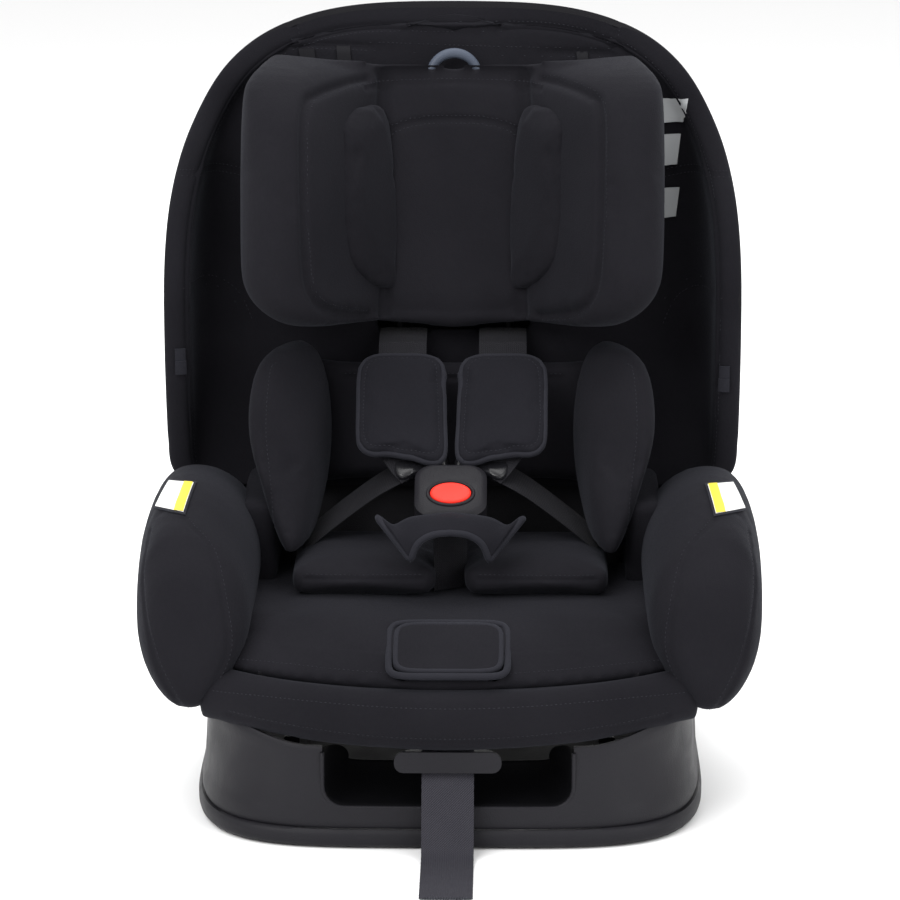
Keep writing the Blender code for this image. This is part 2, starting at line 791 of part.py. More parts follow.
def back_fittings(frame):
    for name, side in SIDES.items():
        cylinder(f"guide_rod_{name}", ROD_RADIUS, 0.220, STEEL, (side * ROD_X, 0.020, 0.200), parent=frame)
    for name, s in (("bottom", 0.0830), ("top", 0.3170)):
        size = (0.116, 0.0240, 0.012)
        block(f"rod_bracket_{name}", size, SATIN, (0, 0.0176, s), parent=frame, round_by=0.002)
    size = (0.180, 0.038, 0.310)
    panel = block("back_panel", size, SHELL, (0, 0.0245, 0.185), parent=frame, round_by=0.006)
    hollow = block("panel_hollow", (0.174, 0.038, 0.304), SHELL, (0, 0.0213, 0.185), parent=frame)
    combine(panel, hollow, "DIFFERENCE")
    upright = (math.pi / 2, 0, 0)
    slab("harness_yoke", (0.050, 0.030, 0.0030), 0.008, STEEL, (0, 0.020, 0.055), upright, frame)
    rear = 0.0245 + 0.019 + GAP
    out = rear + 0.014
    bar = [(-0.022, rear, 0.29), (-0.022, out, 0.29), (0.022, out, 0.29), (0.022, rear, 0.29)]
    wire("tether_anchor", bar, 0.003, STEEL, frame)


def headrest(frame):
    """The head support rides on the rods through a carriage."""
    middle = (HEADREST_BOTTOM + HEADREST_TOP) / 2
    tall = HEADREST_TOP - HEADREST_BOTTOM
    block("headrest_shell", (0.203, 0.0032, tall), SHELL, (0, -0.0184, middle), parent=frame)
    size = (0.240, 0.020, tall + 0.002)
    block("headrest_pad", size, FABRIC, (0, -0.0302, middle), parent=frame, round_by=0.007)
    carriage = block("headrest_carriage", (0.110, 0.0440, 0.040), SATIN, (0, 0.0065, 0.146), parent=frame)
    for name, side in SIDES.items():
        place = (side * ROD_X, 0.020, 0.146)
        bore = cylinder(f"rod_bore_{name}", ROD_RADIUS + GAP, 0.06, STEEL, place, parent=frame)
        combine(carriage, bore, "DIFFERENCE")
        headrest_wing(name, side)
        head_pad(name, side, frame)
    arch = []
    for i in range(13):
        turn = math.pi * i / 12
        arch.append((-0.0195 * math.cos(turn), -0.0262, HEADREST_TOP + 0.0015 + 0.0195 * math.sin(turn)))
    wire("headrest_handle", arch, 0.0032, BLUE_GREY, frame)


def headrest_wing(name, side):
    """A padded cheek beside the head."""
    sections = (
        (0.1240, 0.74, 0.86),
        (0.1275, 0.92, 0.96),
        (0.1370, 1.00, 1.00),
        (0.1500, 1.00, 0.99),
        (0.1600, 0.92, 0.92),
        (0.1655, 0.72, 0.78),
    )
    middle_s = 0.218
    middle_d = 0.0940
    rings = []
    for x, deep, tall in sections:
        ring = []
        for a, b in oval(0.061 * deep, 0.108 * tall, 24, 3.2):
            # The top and bottom run level, while the front and rear edges lean with the back.
            y, z = back_point(middle_s, middle_d)
            ring.append((side * x, y + a + b * math.tan(BACK_LEAN), z + b))
        rings.append(ring)
    loft(f"headrest_wing_{name}", rings, FABRIC)


def head_pad(name, side, frame):
    """The wedge between a cheek and the back of the head."""
    outline = (
        (0.1230, -0.0410),
        (0.0600, -0.0410),
        (0.0560, -0.0470),
        (0.0750, -0.0800),
        (0.0980, -0.1130),
        (0.1120, -0.1240),
        (0.1230, -0.1240),
    )
    rings = []
    for s, grow in ((0.140, 0.80), (0.150, 0.95), (0.290, 0.95), (0.304, 0.75)):
        ring = []
        for x, y in outline:
            ring.append((side * (0.1230 - (0.1230 - x) * grow), -0.0410 + (y + 0.0410) * grow, s))
        rings.append(ring)
    loft(f"head_pad_{name}", rings, FABRIC, frame)


def build():
    tray = base_tray()
    foot_pads()
    base_shell()
    rails()
    rack()
    rail_screws(tray)
    seat_shell()
    runners()
    back_cover()
    cushion = seat_cushion()
    bolsters()
    body_insert()
    shoulder_straps()
    shoulder_pads()
    lap_straps()
    buckle_frame = empty("buckle_frame", BUCKLE_CENTRE, (BUCKLE_TILT, 0, 0))
    buckle(buckle_frame)
    tongues(buckle_frame)
    crotch()
    adjuster(cushion)
    adjuster_strap()
    recline_lever()
    y, z = back_point(0.0, 0.0)
    back_frame = empty("back_frame", (0, y, z), (-BACK_LEAN, 0, 0))
    back_fittings(back_frame)
    headrest(back_frame)


build()
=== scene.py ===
import json
import math

import bmesh
import bpy
import numpy as np
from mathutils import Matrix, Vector
from mathutils.bvhtree import BVHTree


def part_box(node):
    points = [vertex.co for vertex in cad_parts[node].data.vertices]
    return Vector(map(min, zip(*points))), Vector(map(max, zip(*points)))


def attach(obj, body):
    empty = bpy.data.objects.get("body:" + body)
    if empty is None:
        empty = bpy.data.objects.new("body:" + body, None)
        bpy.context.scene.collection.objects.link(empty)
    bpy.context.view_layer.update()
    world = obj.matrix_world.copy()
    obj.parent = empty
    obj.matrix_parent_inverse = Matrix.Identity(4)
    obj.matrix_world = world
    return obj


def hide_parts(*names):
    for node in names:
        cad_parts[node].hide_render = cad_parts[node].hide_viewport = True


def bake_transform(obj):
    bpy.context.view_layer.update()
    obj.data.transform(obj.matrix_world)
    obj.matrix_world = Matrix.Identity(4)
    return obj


# The looks of a convertible car seat, laid over its CAD frame.
# Everything is in metres. The child faces -Y and +Z is up.

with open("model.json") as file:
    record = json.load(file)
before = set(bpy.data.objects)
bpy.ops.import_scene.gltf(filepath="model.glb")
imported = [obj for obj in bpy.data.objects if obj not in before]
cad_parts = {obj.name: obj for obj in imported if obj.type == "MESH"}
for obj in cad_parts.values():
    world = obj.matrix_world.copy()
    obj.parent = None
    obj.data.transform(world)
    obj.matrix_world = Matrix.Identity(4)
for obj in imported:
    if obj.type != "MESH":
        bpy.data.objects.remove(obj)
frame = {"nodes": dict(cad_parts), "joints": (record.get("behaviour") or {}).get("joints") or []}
for startup in ("Cube", "Camera", "Light"):
    if startup in bpy.data.objects:
        bpy.data.objects.remove(bpy.data.objects[startup], do_unlink=True)
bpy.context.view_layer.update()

SIDES = {"left": -1.0, "right": 1.0}
JOINTS = {joint["name"]: joint for joint in frame["joints"]}

# The seat's leading dimensions, read from the frame where it has them
UP_BACK = Vector(JOINTS["headrest_height"]["axis"]).normalized()
LEAN = math.atan2(UP_BACK.y, UP_BACK.z)
SHELL_LOW, SHELL_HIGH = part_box("seat_shell")
TRAY_LOW, TRAY_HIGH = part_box("base_tray")
SHELL_WALL = 0.0045
PAN_Z = 0.118
CORNER_Y = -0.045
CORNER_RADIUS = 0.130
BACK_HALF_WIDTH = SHELL_HIGH.x - SHELL_WALL
BACK_TOP = 0.3776
DOME_START = 0.0886
DOME_POWER = 3.35
CORNER_POWER = 3.2
LINING = 0.0146
COVER_OUT = 0.0060
FRONT_BOW = 0.060 / 0.185**2

# The reference view
TARGET = Vector((-0.0015, 0.0, 0.252))
CAMERA_PLACE = Vector((0.040, -3.118, 0.972))
LENS = 161.8


# Small geometry helpers


def smooth_path(points, per_span=6, closed=False):
    """A Catmull-Rom line through points of any dimension."""
    p = np.array(points, float)
    n = len(p)
    out = []
    for i in range(n if closed else n - 1):
        b = p[i]
        c = p[(i + 1) % n]
        if closed:
            a = p[i - 1]
            d = p[(i + 2) % n]
        else:
            a = p[i - 1] if i else 2 * b - c
            d = p[i + 2] if i + 2 < n else 2 * c - b
        for k in range(per_span):
            t = k / per_span
            cubic = (-a + 3 * b - 3 * c + d) * t**3
            out.append(0.5 * (2 * b + (c - a) * t + (2 * a - 5 * b + 4 * c - d) * t * t + cubic))
    if not closed:
        out.append(p[-1])
    return np.array(out)


def resample(points, pitch):
    """Points at an even pitch along a line."""
    p = np.array(points, float)
    steps = np.linalg.norm(np.diff(p, axis=0), axis=1)
    run = np.concatenate([[0.0], np.cumsum(steps)])
    count = max(2, int(round(run[-1] / pitch)) + 1)
    at = np.linspace(0.0, run[-1], count)
    return np.stack([np.interp(at, run, p[:, k]) for k in range(p.shape[1])], axis=1)


def table(stations, value):
    """Smooth value of a table of (place, value) pairs."""
    xs = [pair[0] for pair in stations]
    ys = [pair[1] for pair in stations]
    fine = smooth_path(list(zip(xs, ys)), 8)
    return float(np.interp(value, fine[:, 0], fine[:, 1]))


def oval(half_a, half_b, sides, power=2.0):
    """Points of a superellipse."""
    turn = 2 * math.pi * (np.arange(sides) + 0.5) / sides
    c = np.cos(turn)
    s = np.sin(turn)
    a = half_a * np.sign(c) * np.abs(c) ** (2 / power)
    b = half_b * np.sign(s) * np.abs(s) ** (2 / power)
    return np.stack([a, b], axis=1)


def new_object(name, verts, faces):
    """A smooth-shaded mesh object with its faces turned outward."""
    mesh = bpy.data.meshes.new(name)
    mesh.from_pydata([tuple(v) for v in verts], [], faces)
    obj = bpy.data.objects.new(name, mesh)
    bpy.context.scene.collection.objects.link(obj)
    bm = bmesh.new()
    bm.from_mesh(mesh)
    bmesh.ops.remove_doubles(bm, verts=bm.verts, dist=0.00002)
    bmesh.ops.recalc_face_normals(bm, faces=bm.faces)
    bm.to_mesh(mesh)
    bm.free()
    mesh.shade_smooth()
    return obj


def sheet_of(name, rows, wrap=False):
    """A mesh through rows of points; wrap joins each row's ends."""
    rows = np.array(rows, float)
    count, across = rows.shape[:2]
    faces = []
    for i in range(count - 1):
        for j in range(across if wrap else across - 1):
            k = (j + 1) % across
            faces.append((i * across + j, i * across + k, (i + 1) * across + k, (i + 1) * across + j))
    return new_object(name, rows.reshape(-1, 3), faces)


def loft(name, rings):
    """A closed solid through rings, with a fan over each end."""
    rings = np.array(rings, float)
    count, across = rings.shape[:2]
    verts = list(rings.reshape(-1, 3))
    faces = []
    for i in range(count - 1):
        for j in range(across):
            k = (j + 1) % across
            faces.append((i * across + j, i * across + k, (i + 1) * across + k, (i + 1) * across + j))
    for ring, first in ((rings[0], 0), (rings[-1], (count - 1) * across)):
        verts.append(ring.mean(axis=0))
        for j in range(across):
            faces.append((first + j, first + (j + 1) % across, len(verts) - 1))
    return new_object(name, verts, faces)


def apply_modifiers(obj):
    graph = bpy.context.evaluated_depsgraph_get()
    mesh = bpy.data.meshes.new_from_object(obj.evaluated_get(graph))
    obj.modifiers.clear()
    obj.data = mesh
    mesh.shade_smooth()
    return obj


def modify(obj, kind, **settings):
    """Adds one modifier with settings and applies it."""
    modifier = obj.modifiers.new(kind.lower(), kind)
    for key, value in settings.items():
        setattr(modifier, key, value)
    return apply_modifiers(obj)


def subdivide(obj, levels=1):
    return modify(obj, "SUBSURF", levels=levels, render_levels=levels)


def sharpen(obj, angle=35):
    obj.data.set_sharp_from_angle(angle=math.radians(angle))
    return obj


def cut(obj, other, operation="DIFFERENCE"):
    modify(obj, "BOOLEAN", object=other, operation=operation, solver="EXACT")
    bpy.data.objects.remove(other, do_unlink=True)
    return obj


def rounded_box(name, size, place, rotation=(0, 0, 0), round_by=0.004, segments=4):
    bm = bmesh.new()
    bmesh.ops.create_cube(bm, size=1.0)
    bmesh.ops.scale(bm, vec=size, verts=bm.verts)
    bmesh.ops.bevel(bm, geom=bm.edges[:], offset=round_by, segments=segments, affect="EDGES", profile=0.5)
    mesh = bpy.data.meshes.new(name)
    bm.to_mesh(mesh)
    bm.free()
    mesh.shade_smooth()
    obj = bpy.data.objects.new(name, mesh)
    bpy.context.scene.collection.objects.link(obj)
    obj.location = place
    obj.rotation_euler = rotation
    bpy.context.view_layer.update()
    mesh.transform(obj.matrix_world)
    obj.matrix_world.identity()
    obj.location = (0, 0, 0)
    obj.rotation_euler = (0, 0, 0)
    return obj


def slab(name, size, corner, place, rotation=(0, 0, 0), edge=0.0015):
    """A plate with round corners in its own plane and soft edges."""
    half_x = size[0] / 2
    half_y = size[1] / 2
    outline = []
    for turn in range(4):
        base = turn * math.pi / 2
        sx = 1 if turn in (0, 3) else -1
        sy = 1 if turn in (0, 1) else -1
        for k in range(9):
            angle = base + k / 8 * math.pi / 2
            x = sx * (half_x - corner) + corner * math.cos(angle)
            y = sy * (half_y - corner) + corner * math.sin(angle)
            outline.append((x, y))
    outline = np.array(outline)
    rings = []
    for z, shrink in (
        (-0.5, edge), (-0.5, 0.35 * edge), (-0.35, 0.0), (0.35, 0.0), (0.5, 0.35 * edge), (0.5, edge)
    ):
        scale = 1 - shrink / np.array([half_x, half_y])
        height = z * size[2]
        if shrink == 0.35 * edge:
            height -= math.copysign(0.3 * edge, z)
        rings.append([(x, y, height) for x, y in outline * scale])
    obj = loft(name, rings)
    obj.location = place
    obj.rotation_euler = rotation
    bpy.context.view_layer.update()
    obj.data.transform(obj.matrix_world)
    obj.location = (0, 0, 0)
    obj.rotation_euler = (0, 0, 0)
    return obj


def tube(name, points, radius, sides=8, closed=False):
    """A round line through points; radius may be a list."""
    p = np.array(points, float)
    n = len(p)
    radii = radius if hasattr(radius, "__len__") else [radius] * n
    rings = []
    up = None
    for i in range(n):
        before = p[i - 1] if i or closed else p[0]
        after = p[(i + 1) % n] if i + 1 < n or closed else p[-1]
        along = Vector(after - before).normalized()
        if up is None:
            up = along.orthogonal().normalized()
        up = (up - along * up.dot(along)).normalized()
        side = along.cross(up)
        ring = []
        for k in range(sides):
            turn = 2 * math.pi * k / sides
            spot = up * (math.cos(turn) * radii[i]) + side * (math.sin(turn) * radii[i])
            ring.append(Vector(p[i]) + spot)
        rings.append(ring)
    if closed:
        rings.append(rings[0])
        return sheet_of(name, rings, wrap=True)
    return loft(name, rings)


def mirrored(obj, name):
    """A copy of obj on the other side."""
    mesh = obj.data.copy()
    co = points_of(mesh)
    co[:, 0] *= -1
    mesh.vertices.foreach_set("co", co.ravel())
    mesh.flip_normals()
    copy = bpy.data.objects.new(name, mesh)
    bpy.context.scene.collection.objects.link(copy)
    return copy


def points_of(mesh):
    co = np.empty(len(mesh.vertices) * 3)
    mesh.vertices.foreach_get("co", co)
    return co.reshape(-1, 3)


def normals_of(mesh):
    normals = np.empty(len(mesh.vertices) * 3)
    mesh.vertices.foreach_get("normal", normals)
    return normals.reshape(-1, 3)


def move_points(obj, co):
    obj.data.vertices.foreach_set("co", np.ascontiguousarray(co, float).ravel())
    obj.data.update()


# Soft goods


CLOTH_FRAMES = 20


def swell(pieces):
    """Fills closed pads by cloth simulation, all at once. Each comes with its voxel, pressure and cap."""
    for obj, voxel, pressure, cap in pieces:
        modify(obj, "REMESH", mode="VOXEL", voxel_size=voxel)
    starts = {}
    for obj, voxel, pressure, cap in pieces:
        starts[obj.name] = points_of(obj.data)
        modifier = obj.modifiers.new("fill", "CLOTH")
        modifier.settings.quality = 4
        modifier.settings.mass = 0.15
        modifier.settings.tension_stiffness = 12
        modifier.settings.compression_stiffness = 12
        modifier.settings.bending_stiffness = 0.4
        modifier.settings.use_pressure = True
        modifier.settings.uniform_pressure_force = pressure
        modifier.settings.effector_weights.gravity = 0
        modifier.point_cache.frame_start = 1
        modifier.point_cache.frame_end = CLOTH_FRAMES
    for step in range(1, CLOTH_FRAMES + 1):
        bpy.context.scene.frame_set(step)
    for obj, voxel, pressure, cap in pieces:
        apply_modifiers(obj)
        start = starts[obj.name]
        shift = points_of(obj.data) - start
        length = np.linalg.norm(shift, axis=1, keepdims=True)
        shift *= np.minimum(1.0, cap / np.maximum(length, 1e-9))
        move_points(obj, start + shift)
    bpy.context.scene.frame_set(1)
    for obj, voxel, pressure, cap in pieces:
        modify(obj, "SMOOTH", iterations=2, factor=0.5)
        subdivide(obj)


def press(obj, line, width=0.0022, depth=0.0014):
    """Sinks a groove in obj along a line."""
    co = points_of(obj.data)
    normals = normals_of(obj.data)
    path = resample(line, width / 2)
    nearest = np.full(len(co), 1e9)
    near_box = (
        co > path.min(axis=0) - 4 * width
    ).all(axis=1) & (co < path.max(axis=0) + 4 * width).all(axis=1)
    chosen = np.nonzero(near_box)[0]
    for start in range(0, len(path), 200):
        gap = np.linalg.norm(co[chosen, None, :] - path[None, start:start + 200, :], axis=2).min(axis=1)
        nearest[chosen] = np.minimum(nearest[chosen], gap)
    sink = depth * np.exp(-((nearest / width) ** 2))
    move_points(obj, co - normals * sink[:, None])


def tree_of(obj):
    bm = bmesh.new()
    bm.from_mesh(obj.data)
    tree = BVHTree.FromBMesh(bm)
    bm.free()
    return tree


def on_surface(obj, line, direction=(0, 1, 0), pitch=0.002):
    """The line seen along direction, laid on obj; the parts that miss it are left out."""
    tree = tree_of(obj)
    ray = Vector(direction).normalized()
    out = []
    for point in resample(smooth_path(line, 8), pitch):
        hit = tree.ray_cast(Vector(point) - ray * 1.0, ray)[0]
        if hit is not None:
            out.append(hit)
    return out


def front_line(obj, pairs, pitch=0.002):
    """A line given by (x, z) seen from the front, laid on obj."""
    return on_surface(obj, [(x, 0.0, z) for x, z in pairs], (0, 1, 0), pitch)


def nearest_line(obj, points, pitch=0.002, closed=False):
    """A line of points pulled to obj's surface."""
    tree = tree_of(obj)
    path = smooth_path(points, 8, closed)
    if closed:
        path = np.vstack([path, path[:1]])
    return [tree.find_nearest(Vector(point))[0] for point in resample(path, pitch)]


STITCHES = {}


def stitch(obj, line, body, aside=0.0, pitch=0.0036, thread=0.00038):
    """A row of stitches on obj beside a line."""
    tree = tree_of(obj)
    path = resample(line, pitch)
    bucket = STITCHES.setdefault(body, [])
    for a, b in zip(path, path[1:]):
        along = Vector(b - a)
        if along.length > 2.5 * pitch:
            continue
        middle = Vector((a + b) / 2)
        spot, normal = tree.find_nearest(middle)[:2]
        if spot is None or (spot - middle).length > 0.01:
            continue
        across = normal.cross(along).normalized()
        if aside:
            spot, normal = tree.find_nearest(middle + across * aside)[:2]
            if spot is None:
                continue
        bucket.append(
            (spot + normal * thread * 0.5, along.normalized() * pitch * 0.38, across, normal, thread)
        )


def make_stitches():
    """One mesh of thread for each body."""
    for body, rows in STITCHES.items():
        verts = []
        faces = []
        for spot, half, across, normal, thread in rows:
            first = len(verts)
            verts.append(spot - half - normal * thread)
            for turn in range(4):
                ring = across * math.cos(turn * math.pi / 2) + normal * math.sin(turn * math.pi / 2)
                verts.append(spot + ring * thread)
            verts.append(spot + half - normal * thread)
            for turn in range(4):
                here = first + 1 + turn
                then = first + 1 + (turn + 1) % 4
                faces.append((first, then, here))
                faces.append((first + 5, here, then))
        obj = new_object(f"stitching_{body}", verts, faces)
        finish_piece(obj, body, THREAD)


def seam(obj, line, body, width=0.0022, depth=0.0014, rows=(0.0035,)):
    """A sewn seam: a groove with stitches beside it."""
    if len(line) < 4:
        return
    press(obj, line, width, depth)
    for aside in rows:
        stitch(obj, line, body, aside)


def finish_piece(obj, body, look, stands_for=()):
    """Dresses a piece, sets it on its body and hides the frame parts it stands for."""
    obj.data.materials.clear()
    obj.data.materials.append(look)
    if stands_for:
        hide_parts(*stands_for)
    if body:
        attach(obj, body)
    return obj


# Materials


def base_material(name, color, roughness, metallic=0.0):
    made = bpy.data.materials.new(name)
    made.use_nodes = True
    shader = made.node_tree.nodes["Principled BSDF"]
    shader.inputs["Base Color"].default_value = (*color, 1)
    shader.inputs["Roughness"].default_value = roughness
    shader.inputs["Metallic"].default_value = metallic
    return made, made.node_tree, shader


def texture(tree, kind, scale, source="Object", **inputs):
    """A texture node fed by coordinates; returns the node."""
    coords = tree.nodes.new("ShaderNodeTexCoord")
    node = tree.nodes.new(kind)
    tree.links.new(coords.outputs[source], node.inputs["Vector"])
    node.inputs["Scale"].default_value = scale
    for key, value in inputs.items():
        node.inputs[key].default_value = value
    return node


def ramp(tree, source, low, high, start=0.3, end=0.7):
    """Source turned into a range of greys or colours."""
    node = tree.nodes.new("ShaderNodeValToRGB")
    node.color_ramp.elements[0].position = start
    node.color_ramp.elements[1].position = end
    node.color_ramp.elements[0].color = (*low, 1)
    node.color_ramp.elements[1].color = (*high, 1)
    tree.links.new(source, node.inputs["Fac"])
    return node.outputs["Color"]


def bump(tree, shader, heights):
    """Stacked bumps: each height is (socket, distance, strength)."""
    previous = None
    for socket, distance, strength in heights:
        node = tree.nodes.new("ShaderNodeBump")
        node.inputs["Distance"].default_value = distance
        node.inputs["Strength"].default_value = strength
        tree.links.new(socket, node.inputs["Height"])
        if previous is not None:
            tree.links.new(previous, node.inputs["Normal"])
        previous = node.outputs["Normal"]
    tree.links.new(previous, shader.inputs["Normal"])


def knit(name, color, lighter, roughness=0.86, sheen=0.035, loop=1250.0):
    """Close-knit fabric: fine loops, faint mottling and a soft sheen."""
    made, tree, shader = base_material(name, color, roughness)
    loops = texture(tree, "ShaderNodeTexVoronoi", loop)
    fuzz = texture(tree, "ShaderNodeTexNoise", 420.0, Detail=3.0)
    drift = texture(tree, "ShaderNodeTexNoise", 9.0, Detail=3.0)
    tree.links.new(
        ramp(tree, drift.outputs["Fac"], color, lighter, 0.35, 0.68), shader.inputs["Base Color"]
    )
    rough = ramp(tree, fuzz.outputs["Fac"], (roughness - 0.08,) * 3, (roughness + 0.08,) * 3)
    tree.links.new(rough, shader.inputs["Roughness"])
    bump(tree, shader, ((loops.outputs["Distance"], 0.0004, 0.35), (fuzz.outputs["Fac"], 0.0006, 0.25)))
    shader.inputs["Sheen Weight"].default_value = sheen
    shader.inputs["Sheen Roughness"].default_value = 0.45
    shader.inputs["Sheen Tint"].default_value = (0.75, 0.80, 0.95, 1)
    shader.inputs["Specular IOR Level"].default_value = 0.05
    return made


def webbing(name, color, lighter, roughness=0.62):
    """Woven belt: ribs along it and a slanting weave, from the strap's own coordinates."""
    made, tree, shader = base_material(name, color, roughness)
    ribs = texture(tree, "ShaderNodeTexWave", 190.0, "UV", Distortion=0.4)
    ribs.bands_direction = "X"
    weave = texture(tree, "ShaderNodeTexWave", 330.0, "UV", Distortion=0.6)
    weave.bands_direction = "DIAGONAL"
    drift = texture(tree, "ShaderNodeTexNoise", 60.0, "UV", Detail=2.0)
    tree.links.new(ramp(tree, weave.outputs["Fac"], color, lighter, 0.2, 0.9), shader.inputs["Base Color"])
    rough = ramp(tree, drift.outputs["Fac"], (roughness - 0.07,) * 3, (roughness + 0.1,) * 3)
    tree.links.new(rough, shader.inputs["Roughness"])
    bump(tree, shader, ((ribs.outputs["Fac"], 0.0005, 0.45), (weave.outputs["Fac"], 0.0004, 0.5)))
    shader.inputs["Sheen Weight"].default_value = 0.03
    shader.inputs["Sheen Roughness"].default_value = 0.4
    shader.inputs["Specular IOR Level"].default_value = 0.10
    return made


def plastic(name, color, lighter, roughness=0.42, grain=0.35, specular=0.14):
    """Moulded plastic: fine leather-like grain, with scuffs that change its gloss."""
    made, tree, shader = base_material(name, color, roughness)
    pebble = texture(tree, "ShaderNodeTexVoronoi", 900.0)
    scuff = texture(tree, "ShaderNodeTexNoise", 26.0, Detail=6.0, Distortion=0.6)
    drift = texture(tree, "ShaderNodeTexNoise", 5.0, Detail=2.0)
    tree.links.new(ramp(tree, drift.outputs["Fac"], color, lighter), shader.inputs["Base Color"])
    rough = ramp(tree, scuff.outputs["Fac"], (roughness - 0.06,) * 3, (roughness + 0.1,) * 3)
    tree.links.new(rough, shader.inputs["Roughness"])
    bump(tree, shader, ((pebble.outputs["Distance"], 0.0004, grain),))
    shader.inputs["Specular IOR Level"].default_value = specular
    return made


def metal(name, color, roughness=0.3):
    """Plated steel with drawn marks and a little tarnish."""
    made, tree, shader = base_material(name, color, roughness, 1.0)
    marks = texture(tree, "ShaderNodeTexNoise", 300.0, Detail=4.0)
    cloud = texture(tree, "ShaderNodeTexNoise", 40.0, Detail=5.0)
    darker = tuple(0.72 * c for c in color)
    tree.links.new(ramp(tree, cloud.outputs["Fac"], darker, color), shader.inputs["Base Color"])
    rough = ramp(tree, cloud.outputs["Fac"], (roughness + 0.12,) * 3, (roughness - 0.05,) * 3)
    tree.links.new(rough, shader.inputs["Roughness"])
    bump(tree, shader, ((marks.outputs["Fac"], 0.0003, 0.15),))
    return made


FABRIC = knit("black_knit", (0.0075, 0.0072, 0.0092), (0.0100, 0.0096, 0.0120))
SIDE_FABRIC = knit("side_knit", (0.0070, 0.0067, 0.0086), (0.0092, 0.0089, 0.0112), 0.88, 0.03)
PADDING = knit("padding_mesh", (0.0072, 0.0070, 0.0092), (0.0096, 0.0094, 0.0122), 0.84, 0.035, 900.0)
BINDING = knit("binding_tape", (0.0120, 0.0120, 0.0155), (0.0165, 0.0165, 0.0210), 0.70, 0.06, 1600.0)
THREAD = knit("thread", (0.0180, 0.0178, 0.0220), (0.0240, 0.0238, 0.0290), 0.60, 0.05, 2400.0)
BLACK_WEB = webbing("black_belt", (0.0065, 0.0063, 0.0082), (0.0120, 0.0118, 0.0145))
GREY_WEB = webbing("grey_belt", (0.0180, 0.0175, 0.0225), (0.0370, 0.0360, 0.0450))
SATIN = plastic("satin_plastic_finish", (0.0100, 0.0096, 0.0120), (0.0130, 0.0126, 0.0155), 0.46)
SHELL = plastic("shell_plastic_finish", (0.0070, 0.0068, 0.0082), (0.0095, 0.0092, 0.0110), 0.58, 0.5, 0.08)
# Near-black plastic for the recess bowl and the base's liner: painted shade, darker than the base's own
# plastic.
SHADE = plastic(
    "painted_shade_plastic", (0.0030, 0.0030, 0.0036), (0.0042, 0.0042, 0.0050), 0.70, 0.4, 0.03
)
GLOSSY = plastic("tongue_plastic", (0.0070, 0.0070, 0.0085), (0.0095, 0.0095, 0.0115), 0.26, 0.08, 0.35)
BLUE_GREY = plastic("blue_grey_finish", (0.0520, 0.0620, 0.0850), (0.0640, 0.0760, 0.1020), 0.38, 0.15)
RED = plastic("red_button_finish", (0.9000, 0.0300, 0.0180), (0.9600, 0.0400, 0.0240), 0.34, 0.06)
RUBBER = plastic("rubber_finish", (0.0100, 0.0100, 0.0100), (0.0150, 0.0150, 0.0150), 0.85, 0.6, 0.3)
STEEL = metal("plated_steel", (0.560, 0.570, 0.585))
# Near-black steel for the guide rods, which the frame gives plain zinc: painted shade under the seat.
SHADE_DARKENED_STEEL = metal("shade_darkened_steel", (0.020, 0.020, 0.022), 0.45)
LABEL_WHITE = plastic("label_white", (0.7600, 0.7600, 0.7400), (0.8200, 0.8200, 0.8000), 0.55, 0.05)
LABEL_YELLOW = plastic("label_yellow", (0.6800, 0.5400, 0.0500), (0.7600, 0.6000, 0.0700), 0.5, 0.05)
SILVER = plastic("silver_patch", (0.3000, 0.3100, 0.3200), (0.4200, 0.4300, 0.4400), 0.38, 0.1)


# The bucket: a pan, a round corner and a leaning back, as one path


def spine(s):
    """World (y, z, inward y, inward z) at s up the back; below 0 it runs down the corner and the pan."""
    flat = math.pi / 2 - LEAN
    if s >= 0:
        y = CORNER_Y + CORNER_RADIUS * math.sin(flat) + s * math.sin(LEAN)
        z = PAN_Z + CORNER_RADIUS * (1 - math.cos(flat)) + s * math.cos(LEAN)
        return y, z, -math.cos(LEAN), math.sin(LEAN)
    turn = flat + s / CORNER_RADIUS
    if turn >= 0:
        y = CORNER_Y + CORNER_RADIUS * math.sin(turn)
        z = PAN_Z + CORNER_RADIUS * (1 - math.cos(turn))
        return y, z, -math.sin(turn), math.cos(turn)
    return CORNER_Y + turn * CORNER_RADIUS, PAN_Z, 0.0, 1.0


CORNER_RUN = CORNER_RADIUS * (math.pi / 2 - LEAN)
PAN_RUN = CORNER_Y - SHELL_LOW.y - 0.018

WIDTHS = (
    (-CORNER_RUN - PAN_RUN, 0.1385),
    (-CORNER_RUN + 0.057, 0.1385),
    (-CORNER_RUN + 0.113, 0.1440),
    (-0.025, 0.1900),
    (0.000, 0.2190),
    (0.030, BACK_HALF_WIDTH),
)
WALLS = (
    (-CORNER_RUN - PAN_RUN, 0.008),
    (-CORNER_RUN - 0.105, 0.033),
    (-CORNER_RUN - 0.055, 0.035),
    (-CORNER_RUN, 0.035),
    (-CORNER_RUN + 0.057, 0.035),
    (-0.025, 0.026),
    (0.000, 0.030),
    (0.030, 0.042),
    (0.060, 0.062),
    (0.100, 0.082),
    (0.145, 0.098),
    (0.200, 0.092),
    (0.250, 0.062),
    (0.290, 0.0335),
    (0.325, 0.0285),
    (0.349, 0.0220),
    (0.365, 0.0150),
    (BACK_TOP, 0.0150),
)


def rim_place(t):
    """(half width, s) of the rim at t: below 1 it runs up the straight side, from 1 to 2 round the dome."""
    if t <= 1:
        s = WIDTHS[0][0] + t * (DOME_START - WIDTHS[0][0])
        return (table(WIDTHS, s) if s < WIDTHS[-1][0] else BACK_HALF_WIDTH), s
    turn = (t - 1) * math.pi / 2
    x = BACK_HALF_WIDTH * abs(math.cos(turn)) ** (2 / DOME_POWER)
    s = DOME_START + (BACK_TOP - DOME_START) * math.sin(turn) ** (2 / DOME_POWER)
    return x, s


